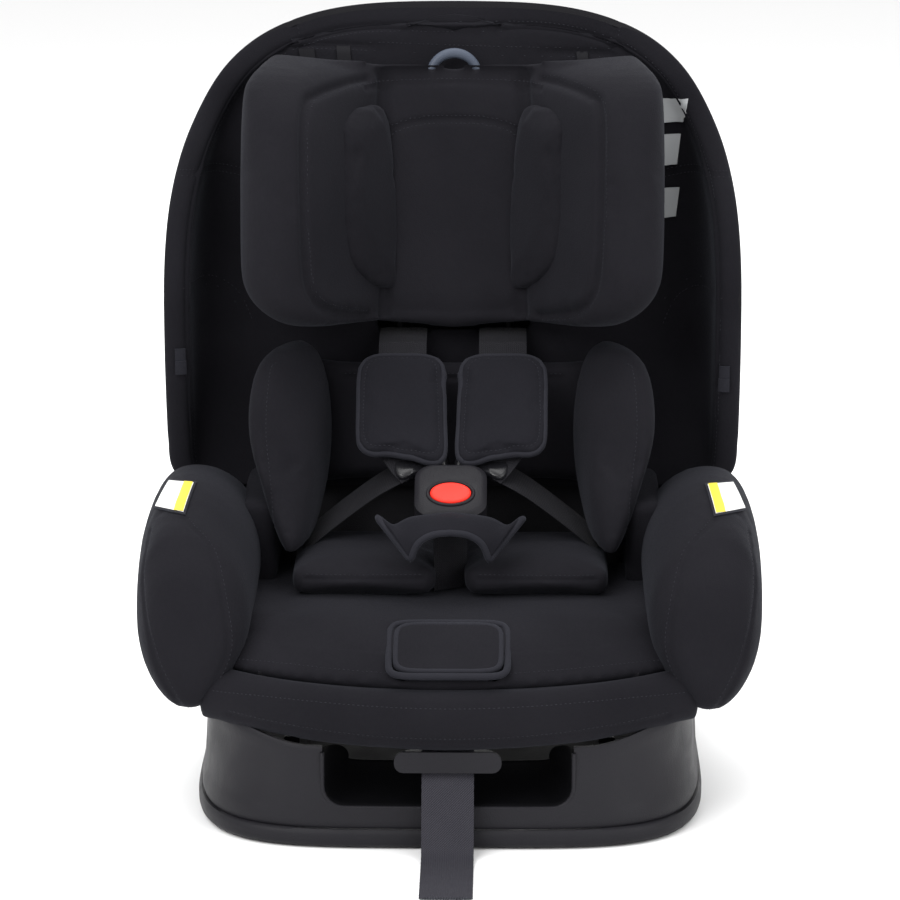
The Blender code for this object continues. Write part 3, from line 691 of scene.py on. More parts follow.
def inner_height(e, wall, width, start):
    """How high the channel stands at e in from the rim, for a surface that starts start above the shell."""
    reach = 0.38 * width
    if e >= reach:
        return start
    u = min(1.0, (reach - e) / (reach - start))
    return start + (wall - start) * (1 - (1 - u**CORNER_POWER) ** (1 / CORNER_POWER))


def bucket_point(t, e, height, side):
    """World point at e in from the rim, towards the spine, and height in front of the shell."""
    x, s = rim_place(t)
    middle = s if s < DOME_START else DOME_START + 0.55 * (s - DOME_START)
    inward = Vector((-x, middle - s))
    inward.normalize()
    x += inward.x * e
    s += inward.y * e
    y, z, in_y, in_z = spine(s)
    return Vector((side * x, y + in_y * height, z + in_z * height))


def rim_stations(first, count_side=26, count_dome=34):
    """Places along the rim, from first up the side and over the dome."""
    side = [first + (1 - first) * i / count_side for i in range(count_side)]
    dome = []
    for i in range(count_dome + 1):
        dome.append(1 + i / count_dome)
    return side + dome


def bucket_grid(profile_of, first):
    """Rows round the whole rim: each is a profile from outside in to the spine."""
    stations = rim_stations(first)
    rows = []
    for side in (-1, 1):
        order = stations if side < 0 else stations[-2::-1]
        for t in order:
            x, s = rim_place(t)
            wall = table(WALLS, s)
            middle = s if s < DOME_START else DOME_START + 0.55 * (s - DOME_START)
            reach = math.hypot(x, s - middle)
            rows.append([bucket_point(t, e, height, side) for e, height in profile_of(x, s, wall, reach)])
    return rows


def lining_profile(x, s, wall, reach):
    """The cover, from its elastic hem behind, round the rim, down the inner wall and in to the spine."""
    line = []
    for i in range(9):
        share = 0.30 + 0.62 * i / 8
        bend = (1 - (1 - share) ** CORNER_POWER) ** (1 / CORNER_POWER)
        e = 0.38 * x * (1 - bend)
        line.append((e - COVER_OUT, share * wall))
    puff = 0.0045 * min(1.0, max(0.0, (wall - 0.0150) / 0.020))
    for i in range(1, 8):
        turn = math.pi * i / 8
        middle = (LINING - COVER_OUT) / 2
        half = (LINING + COVER_OUT) / 2
        line.append(
            (middle - half * math.cos(turn), 0.92 * wall + (0.08 * wall + puff) * math.sin(turn) ** 0.7)
        )
    reach_in = 0.38 * x
    for i in range(15):
        e = LINING + (reach_in - LINING) * (i / 14) ** 1.6
        line.append((e, min(inner_height(e, wall, x, LINING), wall)))
    for i in range(1, 8):
        e = reach_in + (reach - reach_in) * i / 7
        line.append((min(e, reach), LINING))
    return line


def shell_profile(x, s, wall, reach):
    line = []
    reach_in = 0.38 * x
    for i in range(16):
        share = 1 - i / 15
        bend = (1 - (1 - share) ** CORNER_POWER) ** (1 / CORNER_POWER)
        line.append((reach_in * (1 - bend), share * wall))
    for i in range(1, 7):
        line.append((reach_in + (reach - reach_in) * i / 6, 0.0))
    return line


def window_box(name):
    y, z = spine(0.2)[:2]
    return rounded_box(name, (0.124, 0.10, 0.168), (0, y, z), (-LEAN, 0, 0), 0.006, 3)


def seat_shell():
    rows = bucket_grid(shell_profile, 0.0)
    shell = sheet_of("seat_shell_skin", rows)
    modify(shell, "SOLIDIFY", thickness=SHELL_WALL, offset=side_of_solidify(shell, 1), use_even_offset=True)
    cut(shell, window_box("shell_window_box"))
    sharpen(shell, 40)
    return finish_piece(shell, "seat", SHELL, ["seat_shell"])


def side_of_solidify(obj, outward):
    """The Solidify offset that thickens away from the child, whichever way the faces turned out."""
    total = 0.0
    for polygon in obj.data.polygons:
        total += polygon.normal.y * polygon.area
    return outward if total > 0 else -outward


def back_lining():
    first = 1 - (DOME_START + 0.012) / (DOME_START - WIDTHS[0][0])
    rows = bucket_grid(lining_profile, first)
    cover = sheet_of("back_cover_fabric", rows)
    modify(cover, "SOLIDIFY", thickness=0.0022, offset=side_of_solidify(cover, 1))
    cut(cover, window_box("cover_window_box"))
    subdivide(cover)
    body = "seat"
    for side in SIDES.values():
        inner = []
        for t in np.linspace(first + 0.02, 2.0, 90):
            wall = table(WALLS, rim_place(t)[1])
            inner.append(bucket_point(t, LINING + 0.001, 0.985 * wall, side))
        line = nearest_line(cover, inner, 0.003)
        seam(cover, line, body, 0.0030, 0.0022, (0.004,))
        upper = front_line(cover, [(side * 0.222, 0.462), (side * 0.200, 0.461), (side * 0.165, 0.452)])
        seam(cover, upper, body, 0.0024, 0.0012, (0.003, -0.003))
        lower = [(side * 0.214, 0.374), (side * 0.193, 0.371), (side * 0.176, 0.357), (side * 0.166, 0.336)]
        seam(cover, front_line(cover, lower), body, 0.0028, 0.0016, (0.0035,))
        corner = [(side * 0.137, 0.580), (side * 0.131, 0.568), (side * 0.127, 0.553)]
        seam(cover, front_line(cover, corner), body, 0.0024, 0.0014)
    top = [(-0.127, 0.5545), (-0.06, 0.5520), (0.0, 0.5500), (0.06, 0.5485), (0.127, 0.5475)]
    seam(cover, front_line(cover, top), body, 0.0026, 0.0018)
    return finish_piece(cover, body, SIDE_FABRIC, ["back_cover"])


# The seat's pads: each blank is made a little small, then swelled


def seat_pad_blank():
    profile = (
        (0.026, 0.150), (0.024, 0.1585), (-0.040, 0.1585), (-0.110, 0.1585), (-0.165, 0.1560),
        (-0.205, 0.1455), (-0.230, 0.1335), (-0.2385, 0.1260), (-0.2330, 0.1190), (-0.2190, 0.1200),
        (-0.170, 0.1205), (-0.060, 0.1205), (-0.015, 0.1275), (0.013, 0.1390),
    )
    line = smooth_path(profile, 4, closed=True)
    rings = []
    half = 0.184
    for i in range(25):
        x = half * math.sin(math.pi / 2 * (i - 12) / 12)
        bow = FRONT_BOW * x * x
        side = abs(x) / half
        ring = []
        for y, z in line:
            front = min(1.0, max(0.0, (-0.150 - y) / 0.06))
            # Over the channel's walls the pad thins out, so that it runs on under the arms.
            over = min(1.0, max(0.0, (abs(x) - 0.122) / 0.022)) * (1 - min(1.0, 1.6 * front))
            middle = 0.139 + 0.0165 * over
            squeeze = (1 - 0.12 * side**6) * (1 - 0.55 * over)
            ring.append((x, y + bow * front, middle + (z - middle) * squeeze))
        rings.append(ring)
    return loft("seat_pad", rings)


def fascia_blank():
    profile = (
        (-0.2330, 0.1262), (-0.2450, 0.1215), (-0.2515, 0.1080), (-0.2510, 0.0910), (-0.2455, 0.0800),
        (-0.2370, 0.0740), (-0.2300, 0.0770), (-0.2240, 0.1000), (-0.2200, 0.1190),
    )
    line = smooth_path(profile, 4, closed=True)
    rings = []
    half = 0.187
    for i in range(31):
        x = half * math.sin(math.pi / 2 * (i - 15) / 15)
        bow = FRONT_BOW * x * x
        side = abs(x) / half
        ring = []
        for y, z in line:
            low = (0.1225 - z) / 0.043
            ring.append((x, y + bow, z + 0.0085 * low * side**3 + 0.001 * side**2))
        rings.append(ring)
    return loft("front_fascia", rings)


def bolster_blank():
    sections = (
        (-0.206, 0.150, 0.016, 0.028),
        (-0.200, 0.150, 0.031, 0.048),
        (-0.184, 0.155, 0.0395, 0.062),
        (-0.165, 0.161, 0.0430, 0.070),
        (-0.100, 0.173, 0.0445, 0.0725),
        (-0.035, 0.180, 0.0440, 0.0640),
        (0.010, 0.188, 0.0400, 0.0500),
        (0.034, 0.194, 0.0260, 0.0340),
    )
    rings = []
    for y, z, half_x, half_z in smooth_path(sections, 3):
        ring = []
        for a, b in oval(half_x, half_z, 36, 2.2):
            taper = 1 - 0.26 * max(0.0, -b / half_z) ** 1.5
            lean = 0.010 * max(0.0, b / half_z) ** 2 + 0.004 * max(0.0, -b / half_z)
            ring.append((-0.193 - lean + a * taper, y, z + b))
        rings.append(ring)
    return loft("bolster_pad_left", rings)


def insert_wing_blank():
    sections = (
        (0.1868, 0.1150, -0.004, 0.1240, -0.082, 0.007),
        (0.2000, 0.1130, 0.020, 0.1270, -0.082, 0.0125),
        (0.2350, 0.1080, 0.046, 0.1370, -0.062, 0.0185),
        (0.2700, 0.1070, 0.056, 0.1480, -0.040, 0.0220),
        (0.3000, 0.1090, 0.064, 0.1500, -0.022, 0.0200),
        (0.3200, 0.1140, 0.066, 0.1460, -0.005, 0.0150),
        (0.3300, 0.1220, 0.058, 0.1370, 0.015, 0.0070),
    )
    rings = []
    for z, rear_x, rear_y, front_x, front_y, half in smooth_path(sections, 4):
        rear = Vector((rear_x, rear_y))
        front = Vector((front_x, front_y))
        middle = (rear + front) / 2
        along = (front - rear).normalized()
        across = Vector((-along.y, along.x))
        ring = []
        for a, b in oval((front - rear).length / 2, half, 32, 2.4):
            place = middle + along * a + across * b
            ring.append((-place.x, place.y, z))
        rings.append(ring)
    return loft("insert_wing_pad_left", rings)


def lobe_blank():
    low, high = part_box("insert_lobe_left")
    middle = (low + high) / 2
    size = (high - low) - Vector((0.003, 0.003, 0.003))
    return rounded_box("insert_lobe_pad_left", size, middle, (0, 0, 0), 0.0090, 5)


def insert_back_blank():
    y, z, in_y, in_z = spine(0.036)
    place = (0, y + in_y * 0.0265, z + in_z * 0.0265)
    place = Vector(place) + local(0.036 + 0.006, 0) - local(0.036, 0)
    return rounded_box("insert_back_pad", (0.236, 0.017, 0.102), place, (-LEAN, 0, 0), 0.0078, 5)


def local(s, d, x=0.0):
    """World point at s up the back and d in front of the shell."""
    y, z, in_y, in_z = spine(s)
    return Vector((x, y + in_y * d, z + in_z * d))


HEAD_HIGH = 0.318


HEAD_PROFILE = (
    (0.000, 0.0395), (0.030, 0.0395), (0.050, 0.0415), (0.064, 0.0510), (0.080, 0.0800), (0.096, 0.1090),
    (0.108, 0.1300), (0.118, 0.1440), (0.130, 0.1520), (0.144, 0.1530), (0.156, 0.1470), (0.1625, 0.1340),
    (0.1640, 0.1100), (0.1635, 0.0700), (0.1600, 0.0430), (0.1500, 0.0360), (0.1350, 0.0350),
    (0.1220, 0.0300),
    (0.1100, 0.0240), (0.0600, 0.0235), (0.0000, 0.0235),
)


def head_point(x, d, share):
    """World point of the headrest's cover: share runs from its foot, 0, to its top, 1."""
    out = min(1.0, abs(x) / 0.14)
    foot = 0.330 + 0.013 * out
    top = 0.5385 + 0.0155 * out * min(1.0, d / 0.14)
    z = foot + (top - foot) * share
    deep = (1 - abs(2 * share - 1) ** 4.5) ** (1 / 3.2)
    d = 0.030 + (d - 0.030) * deep
    slim = 1 - 0.085 * max(0.0, (share - 0.90) / 0.10) ** 2 - 0.26 * max(0.0, (0.26 - share) / 0.26) ** 2.2
    slim = 1 - (1 - slim) * out
    y = spine(0)[0] + (z - spine(0)[1]) * math.tan(LEAN) - d / math.cos(LEAN)
    return (x * slim, y, z)


def head_cover_blank():
    """The headrest's cover: one padded wrap round both cheeks and the middle."""
    half = smooth_path(HEAD_PROFILE, 3)
    line = [(-x, d) for x, d in half[::-1]][:-1] + [tuple(p) for p in half][:-1]
    rings = []
    for i in range(33):
        share = 0.5 - 0.4985 * math.cos(math.pi * i / 32)
        rings.append([head_point(x, d, share) for x, d in line])
    return loft("headrest_cover", rings)


def wedge_blank():
    """The raised pad between a cheek and the middle."""
    rings = []
    edges = (
        (0.3690, 0.0500, 0.0600),
        (0.3780, 0.0500, 0.0720),
        (0.3950, 0.0500, 0.0840),
        (0.4300, 0.0510, 0.0900),
        (0.4800, 0.0540, 0.0910),
        (0.5020, 0.0570, 0.0900),
        (0.5130, 0.0620, 0.0810),
    )
    for z, inner, outer in smooth_path(edges, 4):
        share = (z - 0.337) / 0.206
        low = Vector(head_point(-inner, 0.0510 + (inner - 0.064) * 1.75, share))
        high = Vector(head_point(-outer, 0.0510 + (outer - 0.064) * 1.75, share))
        middle = (low + high) / 2
        along = (high - low).normalized()
        out = Vector((0, 0, 1)).cross(along).normalized()
        ring = []
        for a, b in oval((high - low).length / 2, 0.0090, 24, 2.6):
            ring.append(middle + along * a + out * (b + 0.0020))
        rings.append(ring)
    return loft("head_wedge_left", rings)


PAD_TILT = math.radians(40.3)
PAD_MIDDLE = sum(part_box("shoulder_pad_left"), Vector()) / 2


def shoulder_pad_place(a, b, lift=0.0):
    """World point on the left shoulder pad, a across and b along; its lower inner corner is drawn down."""
    pull = max(0.0, (a + 0.012) / 0.046) ** 1.6 * max(0.0, (0.000 - b) / 0.0455) ** 1.6
    a += 0.0050 * pull
    b -= 0.0150 * pull
    b += 0.0060 * max(0.0, b / 0.0455)
    y = PAD_MIDDLE.y + (b - 0.009) * math.cos(PAD_TILT) - lift * math.sin(PAD_TILT)
    z = PAD_MIDDLE.z + (b - 0.009) * math.sin(PAD_TILT) + lift * math.cos(PAD_TILT)
    return Vector((PAD_MIDDLE.x + a, y, z))


def shoulder_outline(grow=0.0, count=64):
    """The pad's outline: round on the outside, nearly square beside the middle."""
    return oval(0.0350 + grow, 0.0470 + grow, count, 5.0)


def shoulder_pad_blank():
    rings = []
    for lift, grow in (
        (-0.0048, -0.004), (-0.0040, -0.001), (0.0, 0.0), (0.0040, -0.001), (0.0048, -0.004)
    ):
        rings.append([shoulder_pad_place(a, b, lift) for a, b in shoulder_outline(grow)])
    return loft("shoulder_pad_soft_left", rings)


CROTCH_REAR = (
    (0.0560, -0.0930, 0.2195), (0.0440, -0.0960, 0.2125), (0.0290, -0.0985, 0.2195), (0.0, -0.1000, 0.2235)
)
CROTCH_FRONT = (
    (0.0300, -0.1255, 0.1950), (0.0245, -0.1260, 0.2075), (0.0140, -0.1265, 0.2145), (0.0, -0.1265, 0.2165)
)


def crotch_edge(points):
    """An edge of the crotch pad from one side to the other."""
    half = smooth_path(points, 6)
    return np.vstack([half * (-1, 1, 1), half[-2::-1]])


def crotch_pad_blank():
    """A saddle of padding over the buckle's foot, with ears that flare behind."""
    rear = crotch_edge(CROTCH_REAR)
    front = crotch_edge(CROTCH_FRONT)
    rows = []
    for i in range(9):
        t = i / 8
        crown = 0.0035 * math.sin(math.pi * t)
        row = rear + (front - rear) * t
        row[:, 1] -= crown * 0.6
        row[:, 2] += crown * 0.8
        rows.append(row)
    pad = sheet_of("crotch_pad_soft", rows)
    return modify(pad, "SOLIDIFY", thickness=0.0050, offset=0.0)


def soft_goods():
    blanks = {
        "pad": (seat_pad_blank(), 0.0050, 4.0, 0.0045),
        "fascia": (fascia_blank(), 0.0045, 4.0, 0.0035),
        "bolster": (bolster_blank(), 0.0050, 4.0, 0.0045),
        "wing": (insert_wing_blank(), 0.0040, 4.0, 0.0045),
        "lobe": (lobe_blank(), 0.0040, 4.0, 0.0045),
        "insert_back": (insert_back_blank(), 0.0040, 4.0, 0.0040),
        "head": (head_cover_blank(), 0.0045, 3.5, 0.0035),
        "wedge": (wedge_blank(), 0.0035, 4.0, 0.0030),
        "shoulder": (shoulder_pad_blank(), 0.0030, 4.0, 0.0028),
    }
    swell(list(blanks.values()))
    return {key: value[0] for key, value in blanks.items()}


def pair(obj, name, body, look, slot, node, fill):
    """Finishes a left piece and its mirror image."""
    twin = mirrored(obj, name + "_right")
    obj.name = name + "_left"
    finish_piece(obj, body, look, [node + "_left"])
    finish_piece(twin, body, look, [node + "_right"])
    return obj, twin


def twin_seam(obj, line, body, width=0.0022, depth=0.0014, rows=(0.0035,)):
    """A seam on a left piece, whose stitches are repeated on its mirror image."""
    if len(line) < 4:
        return
    press(obj, line, width, depth)
    for aside in rows:
        before = len(STITCHES.setdefault(body, []))
        stitch(obj, line, body, aside)
        for spot, half, across, normal, thread in STITCHES[body][before:]:
            flipped = [Vector((-v.x, v.y, v.z)) for v in (spot, half, across, normal)]
            STITCHES[body].append((*flipped, thread))


def flap_pocket(name, grow=0.0):
    """The opening under the flap."""
    low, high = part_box("adjuster_flap")
    middle = (low + high) / 2
    tilt = math.radians(21)
    down = Vector((0, math.sin(tilt), -math.cos(tilt)))
    place = middle + down * 0.0205
    return rounded_box(name, (0.084 + grow, 0.062 + grow, 0.036), place, (tilt, 0, 0), 0.008, 4)


def dress_seat(soft):
    pad = soft["pad"]
    front = [(-0.178, 0.1240), (-0.12, 0.1262), (0.0, 0.1255), (0.12, 0.1262), (0.178, 0.1240)]
    co = points_of(pad.data)
    # The pad dips a little where a child sits.
    dip = 0.004 * np.exp(-((co[:, 0] / 0.10) ** 2) - (((co[:, 1] + 0.10) / 0.09) ** 2)) * (co[:, 2] > 0.145)
    co[:, 2] -= dip
    move_points(pad, co)
    stitch(pad, front_line(pad, [(x, z + 0.0075) for x, z in front]), "seat")
    cut(pad, flap_pocket("pad_pocket"))
    finish_piece(pad, "seat", FABRIC, ["seat_cushion"])
    fascia = soft["fascia"]
    stitch(fascia, front_line(fascia, [(x, z - 0.0120) for x, z in front]), "seat")
    seam(
        fascia,
        front_line(fascia, [(x, 0.0870 + 0.3 * abs(x) ** 2) for x in np.linspace(-0.165, 0.165, 9)]), "seat"
    )
    finish_piece(fascia, "seat", FABRIC, [])

    for name, side in SIDES.items():
        # The cover runs from the back's side down behind each arm.
        gusset = rounded_box(
            f"side_gusset_{name}", (0.028, 0.150, 0.092), (side * 0.151, 0.018, 0.176), (0, 0, 0), 0.008, 4
        )
        finish_piece(gusset, "seat", SIDE_FABRIC, [])

    bolster = soft["bolster"]
    outer = [(-0.2275, 0.2220), (-0.2300, 0.190), (-0.2200, 0.137), (-0.200, 0.094)]
    twin_seam(bolster, front_line(bolster, outer), "seat")
    inner = [(-0.200, 0.2340), (-0.1790, 0.216), (-0.1680, 0.178), (-0.1660, 0.140), (-0.185, 0.104)]
    twin_seam(bolster, front_line(bolster, inner), "seat")
    pair(bolster, "bolster_soft", "seat", FABRIC, "black_fabric", "bolster", 0.8)


def dress_insert(soft):
    wing = soft["wing"]
    piping = [
        (-0.1400, 0.3240), (-0.1460, 0.3170), (-0.1485, 0.2760), (-0.1430, 0.2330), (-0.1360, 0.2000),
        (-0.1230, 0.1760)
    ]
    line = front_line(wing, piping)
    twin_seam(wing, line, "seat", 0.0024, 0.0012)
    pair(wing, "insert_wing_soft", "seat", FABRIC, "black_fabric", "insert_wing", 0.8)
    lobe = soft["lobe"]
    low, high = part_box("insert_lobe_left")
    z = low.z + 0.62 * (high.z - low.z)
    belt = [(low.x + 0.012, low.y, z), (high.x - 0.012, low.y, z)]
    twin_seam(lobe, on_surface(lobe, belt, (0, 1, 0)), "seat", 0.0022, 0.0014)
    pair(lobe, "insert_lobe_soft", "seat", FABRIC, "black_fabric", "insert_lobe", 0.7)
    back = soft["insert_back"]
    top = local(0.036 + 0.040, 0.036)
    seam(back, on_surface(back, [(x, top.y, top.z) for x in (-0.088, 0.0, 0.088)], (0, 1, 0)), "seat")
    finish_piece(back, "seat", FABRIC, ["insert_back"])


def dress_headrest(soft):
    body = "headrest"
    cover = soft["head"]
    arch = [(-0.062, 0.4855), (-0.035, 0.4965), (0.0, 0.4995), (0.035, 0.4965), (0.062, 0.4855)]
    seam(cover, front_line(cover, arch), body, 0.0028, 0.0022, (0.003, -0.003))
    top = [(-0.070, 0.5255), (0.0, 0.5275), (0.070, 0.5255)]
    seam(cover, front_line(cover, top), body, 0.0024, 0.0012)
    for side in SIDES.values():
        band = [
            (side * 0.0690, 0.5330), (side * 0.0860, 0.5325), (side * 0.1060, 0.5290),
            (side * 0.1155, 0.5200),
            (side * 0.1160, 0.4700), (side * 0.1135, 0.4000), (side * 0.1080, 0.3760),
            (side * 0.0950, 0.3620),
            (side * 0.0680, 0.3490),
        ]
        seam(cover, front_line(cover, band), body, 0.0040, 0.0042, (0.0048,))
        edge = [
            (side * 0.0560, 0.5300), (side * 0.0570, 0.4900), (side * 0.0530, 0.4100),
            (side * 0.0550, 0.3480),
        ]
        press(cover, front_line(cover, edge), 0.0060, 0.0055)
    finish_piece(
        cover, body, FABRIC, [
            "headrest_pad", "headrest_shell", "headrest_wing_left", "headrest_wing_right"
        ]
    )
    wedge = soft["wedge"]
    pair(wedge, "head_wedge", body, FABRIC, "black_fabric", "head_pad", 0.8)


def bound_edge(obj, ring, name, radius=0.0021):
    """A binding tape round a pad's edge."""
    line = nearest_line(obj, ring, 0.0025, closed=True)
    return tube(name, [tuple(p) for p in line[:-1]], radius, 10, closed=True)


def dress_harness_pads(soft):
    pad = soft["shoulder"]
    ring = [shoulder_pad_place(a, b) for a, b in shoulder_outline(0.0030)]
    tape = bound_edge(pad, ring, "shoulder_tape_left", 0.0025)
    row = [shoulder_pad_place(a, b, 0.007) for a, b in shoulder_outline(-0.0045)]
    twin_seam(pad, nearest_line(pad, row, 0.002, closed=True), "seat", 0.0018, 0.0007, (0.0,))
    twin = mirrored(tape, "shoulder_tape_right")
    for piece in (tape, twin):
        finish_piece(piece, "seat", BINDING)
    pair(pad, "shoulder_pad_soft", "seat", PADDING, "harness_padding", "shoulder_pad", 0.5)


def crotch_pad():
    pad = crotch_pad_blank()
    subdivide(pad)
    finish_piece(pad, "seat", PADDING, ["crotch_pad"])
    rear = crotch_edge(CROTCH_REAR)
    front = crotch_edge(CROTCH_FRONT)[::-1]
    loop = resample(np.vstack([rear, front, rear[:1]]), 0.002)[:-1]
    tape = tube("crotch_tape", loop, 0.0027, 10, closed=True)
    finish_piece(tape, "seat", BINDING)


# Straps


def strap(name, points, across, width, thickness=0.0016, waves=0.0):
    """Flat webbing with rounded edges, and coordinates for its weave in metres along and across."""
    path = resample(smooth_path(points, 8), 0.003)
    rows = []
    profile = []
    for i in range(7):
        profile.append((-1 + 2 * i / 6, 1.0 if 0 < i < 6 else 0.35))
    profile += [(a, -h) for a, h in reversed(profile)]
    run = 0.0
    spans = []
    directions = across if len(across) > 1 else [across[0]] * 2
    spots = np.linspace(0, len(path) - 1, len(directions))
    for i, point in enumerate(path):
        before = Vector(path[max(i - 1, 0)])
        after = Vector(path[min(i + 1, len(path) - 1)])
        along = (after - before).normalized()
        side = Vector([np.interp(i, spots, [d[k] for d in directions]) for k in range(3)])
        side = (side - along * side.dot(along)).normalized()
        up = along.cross(side).normalized()
        if i:
            run += (Vector(point) - Vector(path[i - 1])).length
        edge = width / 2 * (1 + waves * math.sin(run * 900))
        ring = []
        for a, h in profile:
            ring.append(Vector(point) + side * a * edge + up * h * thickness / 2)
        rows.append(ring)
        spans.append(run)
    rows = np.array(rows)
    count, ring_size = rows.shape[:2]
    verts = rows.reshape(-1, 3)
    mesh = bpy.data.meshes.new(name)
    faces = []
    for i in range(count - 1):
        for j in range(ring_size):
            k = (j + 1) % ring_size
            faces.append(
                (i * ring_size + j, i * ring_size + k, (i + 1) * ring_size + k, (i + 1) * ring_size + j)
            )
    faces.append(tuple(range(ring_size - 1, -1, -1)))
    faces.append(tuple(range((count - 1) * ring_size, count * ring_size)))
    mesh.from_pydata([tuple(v) for v in verts], [], faces)
    layer = mesh.uv_layers.new(name="weave")
    for loop in mesh.loops:
        row, column = divmod(loop.vertex_index, ring_size)
        layer.data[loop.index].uv = (profile[column][0] * width / 2, spans[row])
    obj = bpy.data.objects.new(name, mesh)
    bpy.context.scene.collection.objects.link(obj)
    bm = bmesh.new()
    bm.from_mesh(mesh)
    bmesh.ops.recalc_face_normals(bm, faces=bm.faces)
    bm.to_mesh(mesh)
    bm.free()
    mesh.shade_smooth()
    sharpen(obj, 50)
    return obj, path


def harness_straps():
    route = [(0.0960, 0.3310), (0.0760, 0.3300), (0.0560, 0.3265), (0.0500, 0.3225), (-0.0140, 0.2683)]
    low = [(-0.0221, 0.2615), (-0.0330, 0.2520), (-0.0400, 0.2450)]
    lap = (
        (0.034, -0.0310, 0.2440), (0.058, -0.0290, 0.2300), (0.082, -0.0270, 0.2120),
        (0.104, -0.026, 0.194), (0.116, -0.026, 0.183)
    )
    for name, side in SIDES.items():
        x = side * 0.040
        points = [(x, y, z) for y, z in route] + [
            (side * (0.040 - 0.008 * i), *p) for i, p in enumerate(low)
        ]
        belt = strap(f"shoulder_belt_{name}", points, [(1, 0, 0)], 0.038)[0]
        finish_piece(belt, None, BLACK_WEB, [f"shoulder_strap_{name}"])
        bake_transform(belt)
        points = [(side * a, y, z) for a, y, z in lap]
        belt = strap(f"lap_belt_{name}", points, [(0, 0.8, 0.25)], 0.034)[0]
        finish_piece(belt, None, BLACK_WEB, [f"lap_strap_{name}"])
        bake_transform(belt)
    points = [(0, -0.083, 0.1612), (0, -0.083, 0.180), (0, -0.079, 0.2045)]
    belt = strap("crotch_belt", points, [(0.8, 0.5, 0)], 0.030, 0.002)[0]
    finish_piece(belt, "seat", BLACK_WEB, ["crotch_strap"])


def adjuster_tail():
    route = [
        (-0.1960, 0.1285),
        (-0.2060, 0.1280),
        (-0.2150, 0.1235),
        (-0.2200, 0.1120),
        (-0.2210, 0.0980),
        (-0.2230, 0.0830),
        (-0.2285, 0.0700),
        (-0.2360, 0.0570),
        (-0.2430, 0.0430),
        (-0.2490, 0.0290),
        (-0.2550, 0.0160),
        (-0.2620, 0.0060),
        (-0.2740, 0.0020),
        (-0.2950, 0.0012),
        (-0.3200, 0.0010),
        (-0.3500, 0.0010),
    ]
    low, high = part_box("adjuster_strap")
    width = min(0.039, high.x - low.x)
    points = [(0, y, z) for y, z in route]
    belt, path = strap("adjuster_tail", points, [(1, 0, 0)], width, 0.0016, 0.006)
    belt.data.materials.append(GREY_WEB)
    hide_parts("adjuster_strap")
    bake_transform(belt)


# Hard pieces


def base_outline(scale, count=220):
    """The base's plan."""
    half = TRAY_HIGH.x
    points = []
    for a, b in oval(half * scale, 1.0, count, 4.5):
        length = -TRAY_LOW.y if b < 0 else TRAY_HIGH.y
        points.append((a, b * length * scale))
    return points


def wall_rise(x, y):
    """How far the base's wall stands above its front edge: it climbs towards each front corner."""
    beside = min(1.0, max(0.0, (abs(x) - 0.105) / 0.070))
    ahead = min(1.0, max(0.0, (0.010 - y) / 0.060))
    return 0.0135 * beside * beside * (3 - 2 * beside) * ahead


